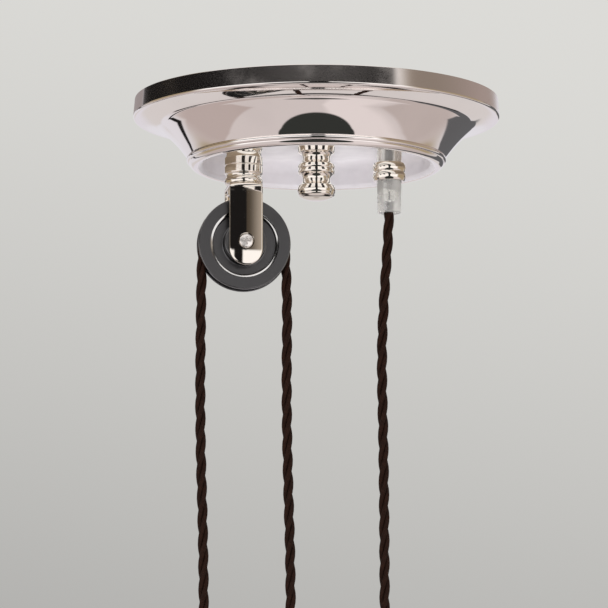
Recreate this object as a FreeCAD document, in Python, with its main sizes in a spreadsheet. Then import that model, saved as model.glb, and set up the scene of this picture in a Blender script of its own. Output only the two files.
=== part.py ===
"""A rise and fall pendant: canopy, ceiling pulley, cord grip, counterweight, lampholder and flex.

The origin is the middle of the canopy on the ceiling. +Z is up, +X runs from the ceiling pulley
to the cord grip, and the front is -Y. Lengths are in millimetres and angles in degrees.
"""
import FreeCAD, Part
import math
import os
from types import SimpleNamespace

import Sketcher

Vector = FreeCAD.Vector

doc = FreeCAD.newDocument("rise_and_fall_pendant")

# ---------------------------------------------------------------- driving dimensions

SIZES = [
    # the canopy, a spun dish with a recessed plate in its middle
    ("recess_radius", 56.0, "radius of the recess inside the rolled bead"),
    ("rim_height", 9.8, "height of the upright rim band"),
    ("rim_round", 1.2, "radius of the rim's lower corner"),
    ("flange_width", 12.9, "width of the sloping flange between the cone and the rim"),
    ("flange_fall", 3.6, "how far the flange falls towards the cone"),
    ("cone_run", 13.8, "how far the cone draws in on its way down"),
    ("cone_height", 15.8, "height of the cone"),
    ("cone_sweep_radius", 66.0, "radius of the cone's hollow sweep"),
    ("bead_fine_height", 2.4, "height of the fine bead under the cone"),
    ("bead_fine_run", 0.8, "how far the fine bead draws in to the groove under it"),
    ("bead_fine_bow", 0.8, "how far the fine bead stands proud"),
    ("bead_roll_drop", 2.5, "drop from the groove to the lowest line"),
    ("bead_roll_outer", 3.0, "width of the rolled bead outside the lowest line"),
    ("bead_roll_inner", 3.5, "width of the rolled bead inside the lowest line"),
    ("recess_lip", 2.0, "rise from the lowest line to the recess wall"),
    ("recess_corner", 6.0, "radius between the recess wall and its plate"),
    ("plate_drop", 21.3, "drop from the ceiling to the plate's underside"),
    ("shell_wall", 1.0, "wall of the spun canopy"),
    # what fixes the canopy to the ceiling
    ("strap_length", 110.0, "length of the ceiling strap, along Y"),
    ("strap_width", 20.0, "width of the ceiling strap"),
    ("strap_thickness", 2.0, "thickness of the ceiling strap"),
    ("slot_spacing", 84.0, "distance between the middles of the strap's slots"),
    ("slot_length", 14.0, "length of a slot, end to end"),
    ("slot_radius", 2.5, "half the width of a slot"),
    ("lug_margin", 6.0, "how far the terminal lug reaches past the block's screw"),
    ("lug_width", 16.0, "width of the terminal lug, along Y"),
    ("lug_middle", 33.0, "place of the terminal lug along Y"),
    ("stud_radius", 3.0, "radius of the threaded centre stud"),
    ("stud_end_drop", 44.3, "drop of the stud's lower end"),
    ("stud_nut_flats", 10.0, "width across flats of the stud's nut"),
    ("stud_nut_height", 5.0, "height of the stud's nut"),
    ("thread_gap", 0.05, "clearance on the radius between a thread and its hole"),
    # the finial that holds the canopy up
    ("finial_washer_radius", 8.0, "radius of the finial's washer"),
    ("finial_washer_thickness", 0.6, "thickness of the finial's washer"),
    ("finial_flare_radius", 8.85, "radius of the finial's top flare"),
    ("finial_flare_height", 4.6, "height of the finial's top flare"),
    ("finial_bulge_radius", 8.6, "radius where a bulge meets a neck"),
    ("finial_neck_height", 6.0, "height of a neck"),
    ("finial_neck_depth", 1.95, "depth of a neck's hollow"),
    ("finial_band_height", 4.7, "height of the double band"),
    ("finial_band_proud", 0.41, "how far one bead of the band stands out"),
    ("finial_foot_height", 5.0, "height of the bottom bulge"),
    ("finial_foot_proud", 0.46, "how far the bottom bulge stands out"),
    ("finial_cap_height", 2.2, "height of the domed bottom"),
    # the ceiling pulley
    ("boss_offset", 35.7, "distance from the canopy's middle to the pulley's stem"),
    ("pulley_yaw", 7.0, "turn of the yoke and wheel about the stem"),
    ("stem_radius", 5.0, "radius of a threaded stem"),
    ("stem_above", 8.0, "length of a stem above the plate's underside"),
    ("collar_radius", 9.35, "radius of the pulley collar's drum"),
    ("collar_flare_step", 0.25, "how far the collar's top flare lies inside its drum"),
    ("collar_flare_height", 4.0, "height of the collar's top flare"),
    ("collar_neck_depth", 0.5, "depth of the collar's necks"),
    ("collar_neck_height", 4.0, "height of the sweep from the flare to the drum"),
    ("collar_drum_height", 8.2, "height of the collar's drum"),
    ("collar_groove_depth", 0.35, "depth of the fine groove round the drum"),
    ("collar_groove_height", 0.5, "height of the fine groove round the drum"),
    ("collar_waist_height", 2.4, "height of the waist under the drum"),
    ("collar_ring_height", 2.6, "height of the ring that seats on the yoke"),
    ("yoke_gap", 19.6, "space between a yoke's legs"),
    ("yoke_thickness", 2.3, "thickness of a yoke's strap at its crown"),
    ("yoke_crown", 0.9, "how far the strap's outer face is domed"),
    ("yoke_width", 16.3, "width of a yoke's strap"),
    ("yoke_bend", 3.4, "radius of a yoke's bends, on the strap's middle line"),
    ("yoke_leg_end", 11.8, "how far the legs reach past the axle"),
    ("yoke_nut_radius", 8.2, "radius of the round nut inside a yoke"),
    ("yoke_nut_height", 3.8, "height of the round nut inside a yoke"),
    ("yoke_nut_wall", 1.0, "thickness of the round nut's closed end"),
    ("wheel_gap", 1.2, "space between a wheel and its yoke's nut"),
    ("wheel_radius", 22.7, "outside radius of the ceiling wheel"),
    ("wheel_width", 9.5, "width of a wheel's rim"),
    ("wheel_edge", 0.45, "chamfer on a wheel's edges"),
    ("flange_depth", 2.5, "how far a wheel's rim stands past the flex's middle line"),
    ("rim_band", 6.9, "width of the flat band on a wheel's face"),
    ("web_thickness", 4.6, "thickness of a wheel's web"),
    ("hub_radius", 10.3, "radius of a wheel's hub"),
    ("hub_gap", 0.3, "running gap at each end of a hub"),
    ("groove_gap", 0.3, "space between the flex and a wheel's groove"),
    ("bush_wall", 1.1, "wall of a wheel's bronze bush"),
    ("bush_gap", 0.06, "running clearance on the radius of an axle"),
    ("axle_radius", 2.5, "radius of an axle screw"),
    ("axle_washer_radius", 5.0, "radius of an axle washer"),
    ("axle_washer_thickness", 0.6, "thickness of an axle washer"),
    ("axle_head_radius", 3.4, "radius of an axle screw's head"),
    ("axle_head_height", 1.4, "height of an axle screw's head"),
    ("axle_head_sink", 0.9, "how far the head is sunk into the front leg"),
    ("axle_head_gap", 0.55, "space round the head in its well"),
    ("axle_cross_span", 4.2, "span of the cross in an axle screw's head"),
    ("axle_cross_width", 1.0, "width of one slot of that cross"),
    ("axle_cross_depth", 0.8, "depth of that cross"),
    ("axle_nut_flats", 8.0, "width across flats of an axle's nut"),
    ("axle_nut_height", 4.0, "height of an axle's nut"),
    ("axle_tail", 0.6, "how far an axle stands out of its nut"),
    # nuts and washers above the canopy's plate
    ("plate_washer_radius", 9.0, "radius of a washer above the plate"),
    ("plate_washer_thickness", 1.0, "thickness of a washer above the plate"),
    ("locknut_flats", 14.0, "width across flats of a locknut"),
    ("locknut_height", 3.5, "height of a locknut"),
    # the cord grips
    ("grip_offset", 35.7, "distance from the canopy's middle to the cord grip"),
    ("grip_sleeve_radius", 6.1, "radius of a grip's frosted sleeve"),
    ("grip_sleeve_height", 10.6, "length of the sleeve under the canopy"),
    ("grip_tail_above", 6.0, "length of a grip's threaded tail above its seat"),
    ("grip_tail_below", 4.0, "length of the threaded tail inside the grip's body"),
    ("grip_bore_gap", 0.6, "space round the flex on its way through a grip"),
    ("grip_collar_radius", 7.5, "radius of a grip collar at its waist"),
    ("grip_bead_height", 4.5, "height of one bead of a grip collar"),
    ("grip_bead_proud", 0.59, "how far that bead stands out"),
    ("grip_body_height", 15.8, "length of a grip's frosted body"),
    ("grip_body_top_radius", 6.05, "radius of the frosted body at its top"),
    ("grip_body_end_radius", 5.75, "radius of the frosted body at its end"),
    ("grip_body_round", 0.9, "rounding of the frosted body's end"),
    ("collet_gap", 0.3, "space between the collet and the threaded tail"),
    ("collet_height", 6.0, "length of a grip's collet"),
    ("collet_top_radius", 4.7, "radius of the collet's wide end"),
    ("collet_end_radius", 3.7, "radius of the collet's narrow end"),
    ("collet_wall_gap", 0.25, "space round the collet"),
    # the flex and its cores
    ("flex_radius", 2.6, "radius of the twisted flex"),
    ("flex_grip_gap", 0.05, "clearance between the flex and a collet"),
    ("flex_tail", 0.3, "how far the flex stands in past a grip's threaded tail"),
    ("core_radius", 1.1, "radius of one core"),
    ("core_circle", 1.35, "radius of the circle that the three cores lie on"),
    ("core_crown_drop", 4.3, "drop from the ceiling to the outer cores' highest line"),
    ("core_crown_step", 2.4, "how much lower the earth core bends over, between the other two"),
    # the terminal block
    ("block_length", 24.0, "length of the terminal block, along X"),
    ("block_width", 14.0, "width of the terminal block, along Y"),
    ("block_height", 12.0, "height of the terminal block"),
    ("pole_spacing", 8.0, "distance between two poles of the block"),
    ("tube_radius", 2.3, "outside radius of a brass terminal tube"),
    ("tube_bore", 1.5, "bore radius of a brass terminal tube"),
    ("tube_inset", 1.0, "how far a tube's end lies inside the block"),
    ("terminal_screw_radius", 1.5, "radius of a terminal screw"),
    ("terminal_screw_inset", 1.0, "how far a terminal screw's head lies in its well"),
    ("terminal_screw_reach", 3.6, "distance of a terminal screw from the block's middle"),
    ("block_screw_radius", 1.4, "radius of the screw that holds the terminal block"),
    ("block_head_radius", 2.6, "radius of that screw's head"),
    ("block_head_height", 1.8, "height of that screw's head"),
    ("earth_screw_radius", 2.0, "radius of the earth screw"),
    ("earth_head_radius", 3.8, "radius of the earth screw's head"),
    ("earth_head_height", 2.4, "height of the earth screw's head"),
    ("earth_reach", 18.0, "distance of the earth screw from the middle"),
    # the counterweight
    ("weight_offset", 10.05, "place of the counterweight's middle along X"),
    ("weight_drop", 330.0, "drop from the ceiling to the counterweight's axle"),
    ("weight_wheel_radius", 25.55, "outside radius of the counterweight's wheel"),
    ("weight_collar_height", 8.0, "height of the ring collar on the lid"),
    ("lid_height", 8.5, "height of the domed lid"),
    ("lid_neck_radius", 11.0, "radius of the lid's flat top"),
    ("lid_lip_height", 1.6, "height of the lid's outer edge"),
    ("lid_spigot_height", 4.0, "length of the lid's spigot inside the can"),
    ("can_radius", 22.0, "outside radius of the can"),
    ("can_height", 62.0, "height of the can"),
    ("can_wall", 1.2, "wall of the can and its lid"),
    ("can_foot_round", 7.0, "radius of the can's lower corner"),
    ("can_band_height", 3.0, "height of the raised band round the can"),
    ("can_band_proud", 0.8, "how far that band stands out"),
    ("can_band_rise", 12.0, "height of the band above the can's foot"),
    ("rod_radius", 3.0, "radius of the rod through the can"),
    ("disc_thickness", 6.0, "thickness of one ballast disc"),
    ("disc_count", 4.0, "number of ballast discs"),
    ("weight_finial_radius", 7.0, "radius of the finial under the can"),
    ("weight_finial_height", 15.0, "height of the finial under the can"),
    ("weight_finial_neck", 4.8, "radius of its neck"),
    # the lampholder
    ("lamp_drop", 395.0, "drop from the ceiling to the top of the lampholder's grip"),
    ("lamp_sleeve_height", 3.3, "length of the sleeve on the lampholder"),
    ("lamp_tail", 9.0, "length of the threaded tail inside the lampholder"),
    ("cap_neck_radius", 9.4, "radius of the cap's flat top"),
    ("cap_metal", 1.25, "wall of the cap's skirt"),
    ("cap_dome_height", 17.0, "height of the cap's dome"),
    ("cap_skirt_height", 9.0, "height of the cap's straight skirt"),
    ("holder_wall", 1.2, "wall of the cap and the shell"),
    ("shell_radius", 19.7, "outside radius of the threaded shell"),
    ("shell_height", 38.0, "length of the threaded shell"),
    ("shell_overlap", 7.0, "how far the shell reaches up into the cap"),
    ("shell_metal", 1.45, "wall of the threaded shell"),
    ("shell_lip", 1.9, "width of the shell's inward lip"),
    ("shell_thread_depth", 0.35, "depth of the shell's thread"),
    ("shell_thread_pitch", 2.0, "pitch of the shell's thread"),
    ("insert_top_radius", 12.0, "radius of the insert's upper part"),
    ("insert_top_height", 7.0, "height of the insert's upper part"),
    ("socket_radius", 13.45, "inside radius of the socket's screw shell"),
    ("socket_wall", 0.5, "wall of the screw shell"),
    ("socket_depth", 24.0, "depth of the insert's well under the centre contact's seat"),
    ("socket_rest", 2.0, "drop from that seat to the step that the screw shell meets"),
    ("socket_step", 1.2, "width of that step inside the screw shell"),
    ("contact_radius", 4.5, "radius of the centre contact"),
    ("contact_height", 1.6, "height of the centre contact"),
    ("contact_rivet_radius", 1.5, "radius of the centre contact's rivet"),
    ("holder_screw_radius", 1.6, "radius of a terminal screw on the insert"),
    ("holder_screw_reach", 8.0, "distance of such a screw from the middle"),
    ("holder_screw_height", 3.0, "height of such a screw above the insert"),
    ("holder_screw_depth", 3.0, "depth of such a screw in the insert"),
    ("ring_radius", 26.0, "outside radius of a shade ring"),
    ("ring_height", 5.0, "height of a shade ring"),
    ("ring_round", 1.6, "rounding of a shade ring's edge"),
    ("ring_upper_drop", 3.0, "space between the cap and the upper shade ring"),
    ("ring_spacing", 11.0, "distance from one shade ring to the next"),
]

sheet = doc.addObject("Spreadsheet::Sheet", "Sizes")
for row, (alias, number, meaning) in enumerate(SIZES, start=1):
    sheet.set(f"A{row}", meaning)
    sheet.set(f"B{row}", str(number))
    sheet.setAlias(f"B{row}", alias)
doc.recompute()


class Size:
    """A number together with the sheet formula that it comes from."""

    def __init__(self, number, formula):
        self.number = number
        self.formula = formula

    def __add__(self, other):
        other = as_size(other)
        return Size(self.number + other.number, f"({self.formula} + {other.formula})")

    def __sub__(self, other):
        other = as_size(other)
        return Size(self.number - other.number, f"({self.formula} - {other.formula})")

    def __mul__(self, other):
        other = as_size(other)
        return Size(self.number * other.number, f"({self.formula} * {other.formula})")

    def __truediv__(self, other):
        other = as_size(other)
        return Size(self.number / other.number, f"({self.formula} / {other.formula})")

    def __neg__(self):
        return Size(-self.number, f"(0 - {self.formula})")

    __radd__ = __add__
    __rmul__ = __mul__


def as_size(value):
    """Let a plain number stand where a size is wanted."""
    if isinstance(value, Size):
        return value
    return Size(float(value), repr(float(value)))


def cosine(angle):
    return Size(math.cos(math.radians(angle.number)), f"cos({angle.formula})")


def sine(angle):
    return Size(math.sin(math.radians(angle.number)), f"sin({angle.formula})")


def arc_radius(run, rise):
    """Radius of an arc that leaves its end level and gains `rise` over `run`."""
    return (run * run + rise * rise) / (rise * 2)


def bow_radius(run, rise, bow):
    """Radius of an arc with its ends this far apart that stands `bow` proud of its chord."""
    run, rise = as_size(run), as_size(rise)
    return ((run * run + rise * rise) / 4 + bow * bow) / (bow * 2)


size = SimpleNamespace(**{alias: Size(number, f"Sizes.{alias}") for alias, number, _ in SIZES})
ZERO = as_size(0)

pieces = []


def keep(piece, label):
    """Name a finished piece and put it on the list that is checked and written out."""
    piece.Label = label
    pieces.append(piece)
    return piece


# ---------------------------------------------------------------- ways to draw and shape

def line(across, up):
    """Step of an outline: a straight edge to this point."""
    return as_size(across), as_size(up), 0, None


def bead(across, up, radius):
    """Step of an outline walked clockwise: an arc to this point that bulges out."""
    return as_size(across), as_size(up), -1, as_size(radius)


def cove(across, up, radius):
    """Step of an outline walked clockwise: an arc to this point that is hollow."""
    return as_size(across), as_size(up), 1, as_size(radius)


def arc_between(start, end, turn, radius):
    """The short arc from start to end, and which of its own ends is the start."""
    chord = end - start
    half = chord.Length / 2
    left = Vector(-chord.y, chord.x, 0).normalize()
    rise = math.sqrt(max(radius * radius - half * half, 0.0))
    centre = (start + end) / 2 + left * (turn * rise)
    first, last = (start, end) if turn > 0 else (end, start)
    angles = [math.atan2(point.y - centre.y, point.x - centre.x) for point in (first, last)]
    circle = Part.Circle(centre, Vector(0, 0, 1), radius)
    return Part.ArcOfCircle(circle, angles[0], angles[1]), (1, 2) if turn > 0 else (2, 1)


def fix_point(sketch, edge, end, across, up):
    """Hold one point of a sketch at its place, with the sheet's formulas."""
    for kind, value, axis in (("DistanceX", across, -2), ("DistanceY", up, -1)):
        if value.formula == ZERO.formula:
            sketch.addConstraint(Sketcher.Constraint("PointOnObject", edge, end, axis))
            continue
        held = sketch.addConstraint(Sketcher.Constraint(kind, -1, 1, edge, end, value.number))
        sketch.setExpression(f"Constraints[{held}]", value.formula)


def draw(sketch, steps, closed=True):
    """Draw an outline, or an open path, of straight edges and arcs, fully held in place."""
    steps = list(steps)
    base = sketch.GeometryCount
    corners = [Vector(across.number, up.number, 0) for across, up, _, _ in steps]
    first_edge = 0 if closed else 1
    ends = []
    for index in range(first_edge, len(steps)):
        _, _, turn, radius = steps[index]
        start, end = corners[index - 1], corners[index]
        if turn == 0:
            sketch.addGeometry(Part.LineSegment(start, end), False)
            ends.append((1, 2))
        else:
            arc, order = arc_between(start, end, turn, radius.number)
            sketch.addGeometry(arc, False)
            ends.append(order)
    count = len(ends)
    for index in range(count if closed else count - 1):
        following = (index + 1) % count
        sketch.addConstraint(Sketcher.Constraint(
            "Coincident", base + index, ends[index][1], base + following, ends[following][0]))
    for index in range(count):
        across, up, turn, radius = steps[index + first_edge]
        fix_point(sketch, base + index, ends[index][1], across, up)
        if turn != 0:
            held = sketch.addConstraint(Sketcher.Constraint("Radius", base + index, radius.number))
            sketch.setExpression(f"Constraints[{held}]", radius.formula)
    if not closed:
        fix_point(sketch, base, ends[0][0], steps[0][0], steps[0][1])


def draw_circle(sketch, across, up, radius):
    """Add a circle, with its middle and radius held by the sheet's formulas."""
    across, up, radius = as_size(across), as_size(up), as_size(radius)
    middle = Vector(across.number, up.number, 0)
    edge = sketch.addGeometry(Part.Circle(middle, Vector(0, 0, 1), radius.number), False)
    fix_point(sketch, edge, 3, across, up)
    held = sketch.addConstraint(Sketcher.Constraint("Radius", edge, radius.number))
    sketch.setExpression(f"Constraints[{held}]", radius.formula)


def new_body(label, member=False):
    """A body that is a piece of its own, or a member of a group of like pieces."""
    body = doc.addObject("PartDesign::Body", label)
    return body if member else keep(body, label)


def new_sketch(body, plane, lift=None):
    """A sketch on one of the body's own planes, lifted along that plane's normal."""
    sketch = body.newObject("Sketcher::SketchObject", f"{body.Name}_sketch")
    support = next(item for item in body.Origin.OriginFeatures if item.Role == plane)
    sketch.AttachmentSupport = (support, [""])
    sketch.MapMode = "FlatFace"
    if lift is not None:
        sketch.setExpression("AttachmentOffset.Base.z", lift.formula)
    return sketch


def revolve(body, steps):
    """Turn a closed outline of (radius, height) steps about the body's Z axis."""
    sketch = new_sketch(body, "XZ_Plane")
    draw(sketch, steps)
    turned_shape = body.newObject("PartDesign::Revolution", f"{body.Name}_turning")
    turned_shape.Profile = sketch
    turned_shape.ReferenceAxis = (sketch, ["V_Axis"])
    turned_shape.Angle = 360
    return turned_shape


def pad(body, sketch, length, downward=False, both_ways=False):
    raised = body.newObject("PartDesign::Pad", f"{body.Name}_pad")
    raised.Profile = sketch
    raised.setExpression("Length", length.formula)
    raised.Reversed = downward
    raised.Midplane = both_ways
    return raised


def cut(body, sketch, depth=None, upward=False):
    """Cut a sketch to a depth, or right through both ways when no depth is given."""
    pocket = body.newObject("PartDesign::Pocket", f"{body.Name}_cut")
    pocket.Profile = sketch
    if depth is None:
        pocket.Type = 1
        pocket.Midplane = True
    else:
        pocket.setExpression("Length", depth.formula)
        pocket.Reversed = upward
    return pocket


def place(piece, across=ZERO, away=ZERO, up=ZERO, yaw=ZERO, roll=ZERO):
    """Put a piece at (X, Y, Z), tipped about X by roll and then turned about Z by yaw."""
    across, away, up, yaw, roll = (as_size(value) for value in (across, away, up, yaw, roll))
    piece.setExpression("Placement", (
        f"create(<<placement>>; "
        f"create(<<vector>>; {across.formula}; {away.formula}; {up.formula}); "
        f"create(<<rotation>>; {yaw.formula}; 0; {roll.formula}))"))


def turned(label, steps, member=False, **where):
    """One piece turned on a lathe."""
    body = new_body(label, member)
    revolve(body, steps)
    place(body, **where)
    return body


def ring_steps(bore, radius, top, bottom):
    """Outline of a plain ring."""
    return [line(bore, top), line(radius, top), line(radius, bottom), line(bore, bottom)]


def cylinder(radius, height, **where):
    rod = doc.addObject("Part::Cylinder", "rod")
    rod.setExpression("Radius", as_size(radius).formula)
    rod.setExpression("Height", as_size(height).formula)
    place(rod, **where)
    return rod


def hex_nut(flats, height, bore, across=ZERO, away=ZERO, up=ZERO, yaw=ZERO, roll=ZERO):
    """A hexagon nut whose lower face, in its own frame, is at the given place."""
    spot = {"across": across, "away": away, "up": up, "yaw": yaw, "roll": roll}
    prism = doc.addObject("Part::Prism", "hexagon")
    prism.Polygon = 6
    prism.setExpression("Circumradius", (flats / (2 * math.cos(math.pi / 6))).formula)
    prism.setExpression("Height", height.formula)
    place(prism, **spot)
    nut = doc.addObject("Part::Cut", "hex_nut")
    nut.Base = prism
    nut.Tool = cylinder(bore, height, **spot)
    return nut


def washer(radius, bore, thickness, **where):
    disc = doc.addObject("Part::Cut", "washer")
    disc.Base = cylinder(radius, thickness, **where)
    disc.Tool = cylinder(bore, thickness, **where)
    return disc


def group(label, members):
    """Identical pieces kept together as separate solids under one name."""
    together = doc.addObject("Part::Compound", label)
    together.Links = members
    return keep(together, label)


# ---------------------------------------------------------------- canopy and its fixings

bead_lowest_radius = size.recess_radius + size.bead_roll_inner
bead_groove_radius = bead_lowest_radius + size.bead_roll_outer
cone_foot_radius = bead_groove_radius + size.bead_fine_run
flange_radius = cone_foot_radius + size.cone_run
canopy_radius = flange_radius + size.flange_width
plate = -size.plate_drop
plate_top = plate + size.shell_wall
stud_bore = size.stud_radius + size.thread_gap
stem_bore = size.stem_radius + size.thread_gap


def build_canopy_shell():
    """The spun dish: rim, flange, hollow cone, two beads, recess and plate, at one wall."""
    wall = size.shell_wall
    rim_foot = -size.rim_height
    flange_foot = rim_foot - size.flange_fall
    cone_foot = flange_foot - size.cone_height
    groove = cone_foot - size.bead_fine_height
    lowest = groove - size.bead_roll_drop
    lip = lowest + size.recess_lip
    fine_bead = bow_radius(size.bead_fine_run, size.bead_fine_height, size.bead_fine_bow)
    outer_roll = arc_radius(size.bead_roll_outer, size.bead_roll_drop)
    inner_roll = arc_radius(size.bead_roll_inner, size.recess_lip)
    corner_start = size.recess_radius - size.recess_corner
    body = new_body("canopy_shell")
    revolve(body, [
        line(canopy_radius, 0),
        line(canopy_radius, rim_foot + size.rim_round),
        bead(canopy_radius - size.rim_round, rim_foot, size.rim_round),
        line(flange_radius, flange_foot),
        cove(cone_foot_radius, cone_foot, size.cone_sweep_radius),
        bead(bead_groove_radius, groove, fine_bead),
        bead(bead_lowest_radius, lowest, outer_roll),
        bead(size.recess_radius, lip, inner_roll),
        line(size.recess_radius, plate - size.recess_corner),
        cove(corner_start, plate, size.recess_corner),
        line(stud_bore, plate),
        line(stud_bore, plate_top),
        line(corner_start, plate_top),
        bead(size.recess_radius + wall, plate - size.recess_corner, size.recess_corner + wall),
        line(size.recess_radius + wall, lip + wall / 2),
        line(bead_lowest_radius, lowest + wall),
        line(bead_groove_radius - wall, groove + wall / 2),
        line(cone_foot_radius - wall, cone_foot + wall / 2),
        bead(flange_radius - wall / 2, flange_foot + wall, size.cone_sweep_radius + wall),
        line(canopy_radius - wall - size.rim_round / 2, rim_foot + wall),
        line(canopy_radius - wall, rim_foot + wall + size.rim_round / 2),
        line(canopy_radius - wall, 0),
    ])
    holes = new_sketch(body, "XY_Plane")
    draw_circle(holes, -size.boss_offset, 0, stem_bore)
    draw_circle(holes, size.grip_offset, 0, stem_bore)
    cut(body, holes)


def slot_steps(middle, radius, length):
    """Outline of a slot that runs along Y about (0, middle)."""
    reach = length / 2 - radius
    return [
        line(-radius, middle + reach),
        bead(0, middle + reach + radius, radius),
        bead(radius, middle + reach, radius),
        line(radius, middle - reach),
        bead(0, middle - reach - radius, radius),
        bead(-radius, middle - reach, radius),
    ]


strap_foot = -size.strap_thickness
block_middle = size.grip_offset - size.pole_spacing / 4
block_screw_place = block_middle + size.pole_spacing / 2


def build_ceiling_strap():
    """The flat bar screwed to the ceiling, with a lug on one side for the terminal block."""
    half_width = size.strap_width / 2
    half_length = size.strap_length / 2
    lug_end = block_screw_place + size.lug_margin
    lug_low = size.lug_middle - size.lug_width / 2
    lug_high = size.lug_middle + size.lug_width / 2
    body = new_body("ceiling_strap")
    blank = new_sketch(body, "XY_Plane")
    draw(blank, [
        line(-half_width, half_length),
        line(half_width, half_length),
        line(half_width, lug_high),
        line(lug_end, lug_high),
        line(lug_end, lug_low),
        line(half_width, lug_low),
        line(half_width, -half_length),
        line(-half_width, -half_length),
    ])
    pad(body, blank, size.strap_thickness, downward=True)
    slots = new_sketch(body, "XY_Plane")
    for side in (-1, 1):
        draw(slots, slot_steps(size.slot_spacing * side / 2, size.slot_radius, size.slot_length))
    cut(body, slots)
    holes = new_sketch(body, "XY_Plane")
    draw_circle(holes, 0, 0, stud_bore)
    draw_circle(holes, 0, -size.earth_reach, size.earth_screw_radius + size.thread_gap)
    draw_circle(holes, block_screw_place, size.lug_middle,
                size.block_screw_radius + size.thread_gap)
    cut(body, holes)


def build_stud():
    """The threaded stud in the strap's middle and the nut that locks it."""
    turned("centre_stud", [
        line(0, -size.thread_gap),
        line(size.stud_radius, -size.thread_gap),
        line(size.stud_radius, -size.stud_end_drop),
        line(0, -size.stud_end_drop),
    ])
    nut = hex_nut(size.stud_nut_flats, size.stud_nut_height, stud_bore,
                  up=strap_foot - size.stud_nut_height)
    keep(nut, "stud_nut")


def build_finial():
    """The turned finial on the stud, with a soft washer against the plate."""
    turned("finial_washer", ring_steps(
        stud_bore, size.finial_washer_radius, plate, plate - size.finial_washer_thickness))
    top = plate - size.finial_washer_thickness
    flare = top - size.finial_flare_height
    band = flare - size.finial_neck_height
    waist = band - size.finial_band_height / 2
    band_foot = band - size.finial_band_height
    foot = band_foot - size.finial_neck_height
    foot_end = foot - size.finial_foot_height
    tip = foot_end - size.finial_cap_height
    bulge = size.finial_bulge_radius
    neck = bow_radius(0, size.finial_neck_height, size.finial_neck_depth)
    half_band = bow_radius(0, size.finial_band_height / 2, size.finial_band_proud)
    foot_bulge = bow_radius(0, size.finial_foot_height, size.finial_foot_proud)
    turned("finial", [
        line(stud_bore, top),
        line(size.finial_flare_radius, top),
        line(size.finial_flare_radius, flare),
        cove(bulge, band, neck),
        bead(bulge, waist, half_band),
        bead(bulge, band_foot, half_band),
        cove(bulge, foot, neck),
        bead(bulge, foot_end, foot_bulge),
        bead(0, tip, arc_radius(bulge, size.finial_cap_height)),
        line(0, -size.stud_end_drop - size.thread_gap),
        line(stud_bore, -size.stud_end_drop - size.thread_gap),
    ])


# ---------------------------------------------------------------- pulleys

collar_height = (size.collar_flare_height + size.collar_neck_height + size.collar_drum_height
                 + size.collar_waist_height + size.collar_ring_height)
yoke_half_span = size.yoke_gap / 2 + size.yoke_thickness
nut_and_gap = size.yoke_nut_height + size.wheel_gap
yoke_reach = size.wheel_radius + nut_and_gap + size.yoke_thickness
weight_yoke_reach = size.weight_wheel_radius + nut_and_gap + size.yoke_thickness
axle_bore = size.axle_radius + size.thread_gap
hub_half = size.yoke_gap / 2 - size.axle_washer_thickness - size.hub_gap
pitch_radius = size.wheel_radius - size.flange_depth
weight_pitch_radius = size.weight_wheel_radius - size.flange_depth

boss_x = -size.boss_offset
bridge = plate - collar_height
axle_height = bridge - yoke_reach
weight_axle_height = -size.weight_drop
weight_bridge = weight_axle_height - weight_yoke_reach

# where the two pulleys' axles are: the ceiling one is turned by the yaw, and the
# counterweight's yoke hangs the other way up
CEILING_PULLEY = {"across": boss_x, "up": axle_height, "yaw": size.pulley_yaw}
WEIGHT_PULLEY = {"across": size.weight_offset, "up": weight_axle_height}


def build_yoke(label, reach, **where):
    """A domed strap bent into a U round its wheel, with its bridge up in its own frame."""
    half_width = size.yoke_width / 2
    middle = size.yoke_gap / 2 + size.yoke_thickness / 2
    bridge_middle = reach - size.yoke_thickness / 2
    inner_face = -size.yoke_gap / 2
    edge_face = inner_face - (size.yoke_thickness - size.yoke_crown)
    leg_end = -size.yoke_leg_end
    body = new_body(label)

    path = new_sketch(body, "YZ_Plane")
    draw(path, [
        line(-middle, leg_end),
        line(-middle, bridge_middle - size.yoke_bend),
        bead(size.yoke_bend - middle, bridge_middle, size.yoke_bend),
        line(middle - size.yoke_bend, bridge_middle),
        bead(middle, bridge_middle - size.yoke_bend, size.yoke_bend),
        line(middle, leg_end),
    ], closed=False)
    section = new_sketch(body, "XY_Plane", lift=leg_end)
    draw(section, [
        line(-half_width, inner_face),
        line(half_width, inner_face),
        line(half_width, edge_face),
        bead(-half_width, edge_face, arc_radius(half_width, size.yoke_crown)),
    ])
    strap = body.newObject("PartDesign::AdditivePipe", f"{label}_strap")
    strap.Profile = section
    strap.Spine = (path, [f"Edge{number}" for number in range(1, 6)])

    ends = new_sketch(body, "XZ_Plane")
    shoulder = leg_end + half_width
    outside = half_width + size.yoke_thickness
    draw(ends, [
        line(-half_width, shoulder),
        cove(0, leg_end, half_width),
        cove(half_width, shoulder, half_width),
        line(outside, shoulder),
        line(outside, leg_end - size.yoke_thickness),
        line(-outside, leg_end - size.yoke_thickness),
        line(-outside, shoulder),
    ])
    cut(body, ends)
    axle_holes = new_sketch(body, "XZ_Plane")
    draw_circle(axle_holes, 0, 0, axle_bore)
    cut(body, axle_holes)
    well = new_sketch(body, "XZ_Plane", lift=yoke_half_span)
    draw_circle(well, 0, 0, size.axle_head_radius + size.axle_head_gap)
    cut(body, well, size.axle_head_sink)
    stem_hole = new_sketch(body, "XY_Plane", lift=reach)
    draw_circle(stem_hole, 0, 0, stem_bore)
    cut(body, stem_hole, size.yoke_thickness * 2)
    place(body, **where)


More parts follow.
